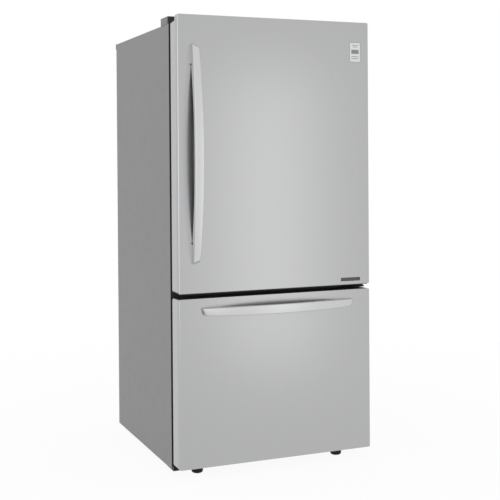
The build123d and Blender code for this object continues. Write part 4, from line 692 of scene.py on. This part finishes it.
SCREW_RADIUS = 0.0045
SCREW_INSET = 0.012  # from a sheet's edge
PANEL_SCREW_ROWS = 6
PANEL_SCREW_LOWEST = 0.04  # above the back panel's lower edge
PANEL_SCREW_MARGINS = 0.11  # height that the rows leave free, below and above them
PANEL_TOP_SCREWS = (-0.2, 0.2)
COVER_SCREW_HEIGHTS = (0.03, -0.02)  # from the cover's lower and upper edge
COVER_TOP_SCREWS = (-0.13, 0.13)
HOOD_COLUMN = 0.208  # from the cover's middle
HOOD_ROWS = 7
HOOD_PITCH = 0.018
HOOD_LOWEST = 0.07  # above the cover's lower edge
HOOD_RISE = 0.003  # above its louvre
HOOD_STEPS = 6  # over its curve
HOOD_STATIONS = (  # place along a hood and share of its full depth
    (-0.066, 0.15), (-0.062, 0.8), (-0.058, 1.0), (0.058, 1.0), (0.062, 0.8), (0.066, 0.15),
)
HOOD_OUTSIDE = (0.0052, 0.0012, 0.0072)  # depth, rise and drop
HOOD_INSIDE = (0.0044, 0.0004, 0.0064)
GROMMET_RADIUS = 0.0112
GROMMET_HALF_WIDTH = 0.0022
GROMMET_STAND = 0.0026
GROMMET_STEPS = 8
CORD_HOLE = (0, BACK_Y, 0.067)
BUTTON_FLANGE = 0.002  # hidden inside the panel, wider than the cap
RING_GAP = 0.0007  # from the button's cap
RING_WIDTH = 0.0008
RING_STAND = 0.0005
BAR_COUNT = 5
BAR_PITCH = 0.007
BAR_START = 0.014  # from the button's middle
BAR_SETBACK = 0.016
BAR_SIZE = (0.004, 0.0018)
BAR_CORNER = 0.0006
BAR_THICKNESS = 0.0003


def screws(name, places):
    """Hex washer-head screws on the cabinet's back."""
    washer = ((SCREW_RADIUS * 1.5, 0), (SCREW_RADIUS * 1.5, 0.0006), (SCREW_RADIUS * 1.3, 0.001))
    head = (
        (SCREW_RADIUS, 0.001), (SCREW_RADIUS, 0.0026), (SCREW_RADIUS * 0.82, 0.0032),
        (SCREW_RADIUS * 0.3, 0.0032), (0.0005, 0.0024),
    )
    builder = bmesh.new()
    for x, z in places:
        place = Matrix.Translation((x, BACK_Y, z)) @ facing((0, 1, 0))
        lathe(builder, washer, place, 24)
        lathe(builder, head, place, 6)
    piece(name, builder, "zinc", "cabinet")


def back_screws():
    """Screws round the back panel and the machine cover."""
    low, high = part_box("back_panel")
    points = []
    for index in range(PANEL_SCREW_ROWS):
        climb = (high.z - low.z - PANEL_SCREW_MARGINS) * index / (PANEL_SCREW_ROWS - 1)
        z = low.z + PANEL_SCREW_LOWEST + climb
        points += [(low.x + SCREW_INSET, z), (high.x - SCREW_INSET, z)]
    points += [(x, high.z - SCREW_INSET) for x in PANEL_TOP_SCREWS]
    screws("back_panel_screws", points)
    low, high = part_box("machine_cover")
    points = []
    for x in (low.x + SCREW_INSET, high.x - SCREW_INSET):
        points += [(x, low.z + COVER_SCREW_HEIGHTS[0]), (x, high.z + COVER_SCREW_HEIGHTS[1])]
    points += [(x, high.z - SCREW_INSET) for x in COVER_TOP_SCREWS]
    screws("machine_cover_screws", points)


def louvre_hoods():
    """Pressed hood over each louvre of the machine cover."""
    builder = bmesh.new()
    quarter = [radians(90 * step / HOOD_STEPS) for step in range(HOOD_STEPS + 1)]
    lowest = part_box("machine_cover")[0].z + HOOD_LOWEST
    for x in (-HOOD_COLUMN, HOOD_COLUMN):
        for row in range(HOOD_ROWS):
            z = lowest + HOOD_PITCH * row + HOOD_RISE
            rings = []
            for along, share in HOOD_STATIONS:
                ring = []
                for (depth, rise, drop), angles in ((HOOD_OUTSIDE, quarter), (HOOD_INSIDE, quarter[::-1])):
                    for angle in angles:
                        y = BACK_Y + depth * share * sin(angle)
                        ring.append(Vector((x + along, y, z + rise - drop * (1 - cos(angle)))))
                rings.append(ring)
            rings_to_faces(builder, rings)
    piece("machine_cover_hoods", builder, "cover_sheet", "cabinet")


def grommet():
    """Rubber grommet round the cord's hole."""
    builder = bmesh.new()
    profile = [
        (GROMMET_RADIUS - GROMMET_HALF_WIDTH * cos(angle), GROMMET_STAND * sin(angle))
        for angle in (radians(180 * step / GROMMET_STEPS) for step in range(GROMMET_STEPS + 1))
    ]
    lathe_ring(builder, profile, Matrix.Translation(CORD_HOLE) @ facing((0, 1, 0)))
    piece("cord_grommet", builder, "black_plastic", "cabinet")


def panel_marks():
    """Rings round the ceiling panel's buttons and a row of small indicator bars beside each."""
    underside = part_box("control_panel")[0].z
    for name in ("fridge_button", "freezer_button"):
        button_low, button_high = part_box(name)
        x, y = middle(name)[:2]
        inner = (button_high.x - button_low.x) / 2 - BUTTON_FLANGE + RING_GAP
        outer = inner + RING_WIDTH
        builder = bmesh.new()
        lathe_ring(
            builder, ((inner, 0.0), (inner, RING_STAND), (outer, RING_STAND), (outer, 0.0)),
            Matrix.Translation((x, y, underside)) @ facing((0, 0, -1)),
        )
        piece(f"{name}_ring", builder, "panel_grey", "cabinet")
        for index in range(BAR_COUNT):
            outline_plate(
                f"{name}_bar_{index}", (x - BAR_START + BAR_PITCH * index, y - BAR_SETBACK, underside),
                BAR_SIZE, BAR_CORNER, BAR_THICKNESS, "panel_grey", "cabinet", (0, 0, -1),
            )


back_screws()
louvre_hoods()
grommet()
panel_marks()


# Feet and rollers

FOOT_ROUND = 0.009  # round lower edge
PAD_FLAT = 0.002  # radius of the flat underneath
PAD_TOP = 0.021
PAD_TOP_RADIUS = 0.006
PAD_CHAMFER = 0.002
COLLAR = ((0.0078, 0.0208), (0.008, 0.0215), (0.008, 0.0242), (0.0072, 0.0247))
THREAD_START = 0.0245
THREAD_PITCH = 0.001
THREAD_CREST = 0.0049
THREAD_ROOT = 0.0043
HUB_BORE = 0.0042
HUB_RADIUS = 0.008
HUB_RECESS = 0.003  # depth of the hollow round the hub
HUB_DRAFT = 0.0005  # slope of the hollow's walls
RIM_WIDTH = 0.004
RIM_CHAMFER = 0.001
TREAD_DROP = 0.0002  # crown of the tread
TREAD_FLAT = 0.3  # share of the tread's half width


def turned_feet():
    """Levelling feet with a round lower edge, a hexagonal collar and a threaded stud."""
    for side in ("left", "right"):
        low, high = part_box(f"levelling_foot_{side}")
        x, y = middle(f"levelling_foot_{side}")[:2]
        place = Matrix.Translation((x, y, 0))
        radius = (high.x - low.x) / 2
        round_edge = [
            (radius - FOOT_ROUND + FOOT_ROUND * sin(angle), FOOT_ROUND - FOOT_ROUND * cos(angle))
            for angle in (radians(degrees) for degrees in range(0, 91, 15))
        ]
        pad = [
            (PAD_FLAT, 0.0), *round_edge, (radius, PAD_TOP - PAD_CHAMFER), (radius - PAD_CHAMFER, PAD_TOP),
            (PAD_TOP_RADIUS, PAD_TOP),
        ]
        thread = []
        height = THREAD_START
        while height < high.z - THREAD_PITCH:
            thread += [(THREAD_CREST, height), (THREAD_ROOT, height + THREAD_PITCH / 2)]
            height += THREAD_PITCH
        builder = bmesh.new()
        lathe(builder, pad, place, 64)
        lathe(builder, COLLAR, place, 6)
        lathe(builder, thread, place, 32)
        foot = piece(f"foot_{side}", builder, "black_plastic", f"levelling_foot_{side}")
        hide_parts(f"levelling_foot_{side}")


def turned_rollers():
    """Rear rollers with a recessed hub and a slightly crowned tread."""
    for side in ("left", "right"):
        low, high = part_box(f"rear_roller_{side}")
        half = (high.x - low.x) / 2
        radius = (high.z - low.z) / 2
        recess = -half + HUB_RECESS
        one_side = [
            (HUB_BORE, -half), (HUB_RADIUS, -half), (HUB_RADIUS + HUB_DRAFT, recess),
            (radius - RIM_WIDTH - HUB_DRAFT, recess), (radius - RIM_WIDTH, -half),
            (radius - RIM_CHAMFER, -half), (radius - TREAD_DROP, -half + RIM_CHAMFER),
            (radius, -half * TREAD_FLAT),
        ]
        other_side = [(distance, -along) for distance, along in reversed(one_side)]
        builder = bmesh.new()
        place = Matrix.Translation(middle(f"rear_roller_{side}")) @ facing((1, 0, 0))
        lathe(builder, one_side + other_side, place, 64)
        roller = piece(f"roller_{side}", builder, "black_plastic", f"rear_roller_{side}")
        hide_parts(f"rear_roller_{side}")


turned_feet()
turned_rollers()


# Stage

FLOOR_HALF = 14
FLOOR_COLOUR = (0.86, 0.86, 0.86)
FLOOR_NEAR_SHARE = 0.94  # how nearly white the floor is seen beside the object
FLOOR_FADE = (0.6, 3.0)  # distances between which it turns white
WORLD_LIGHT = 0.62


def floor():
    """Wide pale floor, which camera, glossy and transmission rays see nearly white."""
    surface = Surface("floor_pale", FLOOR_COLOUR, roughness=0.9)
    surface.coloured(surface.noise(2.5), times(FLOOR_COLOUR, 0.99), times(FLOOR_COLOUR, 1.01))
    away = surface.add("ShaderNodeVectorMath", {0: surface.place}, operation="LENGTH").outputs["Value"]
    share = surface.ranged(away, FLOOR_NEAR_SHARE, 1.0, *FLOOR_FADE)
    amount = surface.add("ShaderNodeMath", {0: surface.seen_directly(), 1: share}, operation="MULTIPLY")
    surface.overlaid(amount.outputs[0], surface.add("ShaderNodeEmission", {"Color": WHITE}))
    builder = bmesh.new()
    corners = ((-1, -1), (1, -1), (1, 1), (-1, 1))
    builder.faces.new([builder.verts.new((x * FLOOR_HALF, y * FLOOR_HALF, 0)) for x, y in corners])
    made = meshed("floor", builder)
    made.data.materials.append(surface.material)


def world():
    """White surroundings, dimmer as a light than as seen."""
    made = bpy.data.worlds.new("studio")
    bpy.context.scene.world = made
    made.use_nodes = True
    made.node_tree.nodes.clear()
    studio = Nodes(made.node_tree)
    lit = studio.add("ShaderNodeBackground", {"Color": WHITE, "Strength": WORLD_LIGHT})
    seen = studio.add("ShaderNodeBackground", {"Color": WHITE, "Strength": 1.0})
    mix = studio.add(
        "ShaderNodeMixShader", {0: studio.seen_directly(), 1: lit.outputs[0], 2: seen.outputs[0]},
    )
    studio.add("ShaderNodeOutputWorld", {"Surface": mix.outputs[0]})


def softbox(name, place, target, size, power, mirrored):
    """Rectangular soft light aimed at a point, which metal mirrors or doesn't."""
    light = bpy.data.lights.new(name, "AREA")
    light.shape = "RECTANGLE"
    light.size, light.size_y = size
    light.energy = power
    made = placed(name, light)
    made.location = place
    aim = Vector(target) - Vector(place)
    made.rotation_euler = aim.to_track_quat("-Z", "Y").to_euler()
    made.visible_glossy = mirrored
    made.visible_camera = False


def lights():
    """Key and top light for the matt surfaces, and two soft strips that the steel mirrors."""
    heart = (0, 0, 0.9)
    softbox("key", (-2.2, -4.2, 3.4), heart, (2.6, 2.6), power=50, mirrored=False)
    softbox("top", (0, 0.2, 4.4), heart, (3.0, 3.0), power=30, mirrored=False)
    softbox("front_strip", (0.765, -2.2, 0.89), (-0.03, -0.4, 0.89), (0.5, 1.74), power=1.5, mirrored=True)
    softbox("edge_strip", (-2.2, -4.2, 1.3), (0, -0.4, 1.3), (2.8, 2.4), power=20.0, mirrored=True)


def camera():
    """Camera at the photograph's place, angle and framing."""
    forward = Vector((
        sin(CAMERA_YAW) * cos(CAMERA_PITCH), cos(CAMERA_YAW) * cos(CAMERA_PITCH), sin(CAMERA_PITCH),
    ))
    level_right = Vector((cos(CAMERA_YAW), -sin(CAMERA_YAW), 0))
    level_up = level_right.cross(forward)
    right = level_right * cos(CAMERA_ROLL) + level_up * sin(CAMERA_ROLL)
    up = level_up * cos(CAMERA_ROLL) - level_right * sin(CAMERA_ROLL)
    data = bpy.data.cameras.new("photo_camera")
    data.sensor_width = SENSOR
    data.lens = FOCAL_PIXELS * SENSOR / IMAGE_SIZE
    data.shift_x = 0.5 - PRINCIPAL[0] / IMAGE_SIZE
    data.shift_y = PRINCIPAL[1] / IMAGE_SIZE - 0.5
    data.clip_start = 0.05
    data.clip_end = 60
    made = placed("photo_camera", data)
    turn = Matrix((right, up, -forward)).transposed().to_4x4()
    made.matrix_world = Matrix.Translation(CAMERA_PLACE) @ turn
    bpy.context.scene.camera = made


floor()
world()
lights()
camera()
bpy.context.scene.view_settings.view_transform = "Standard"
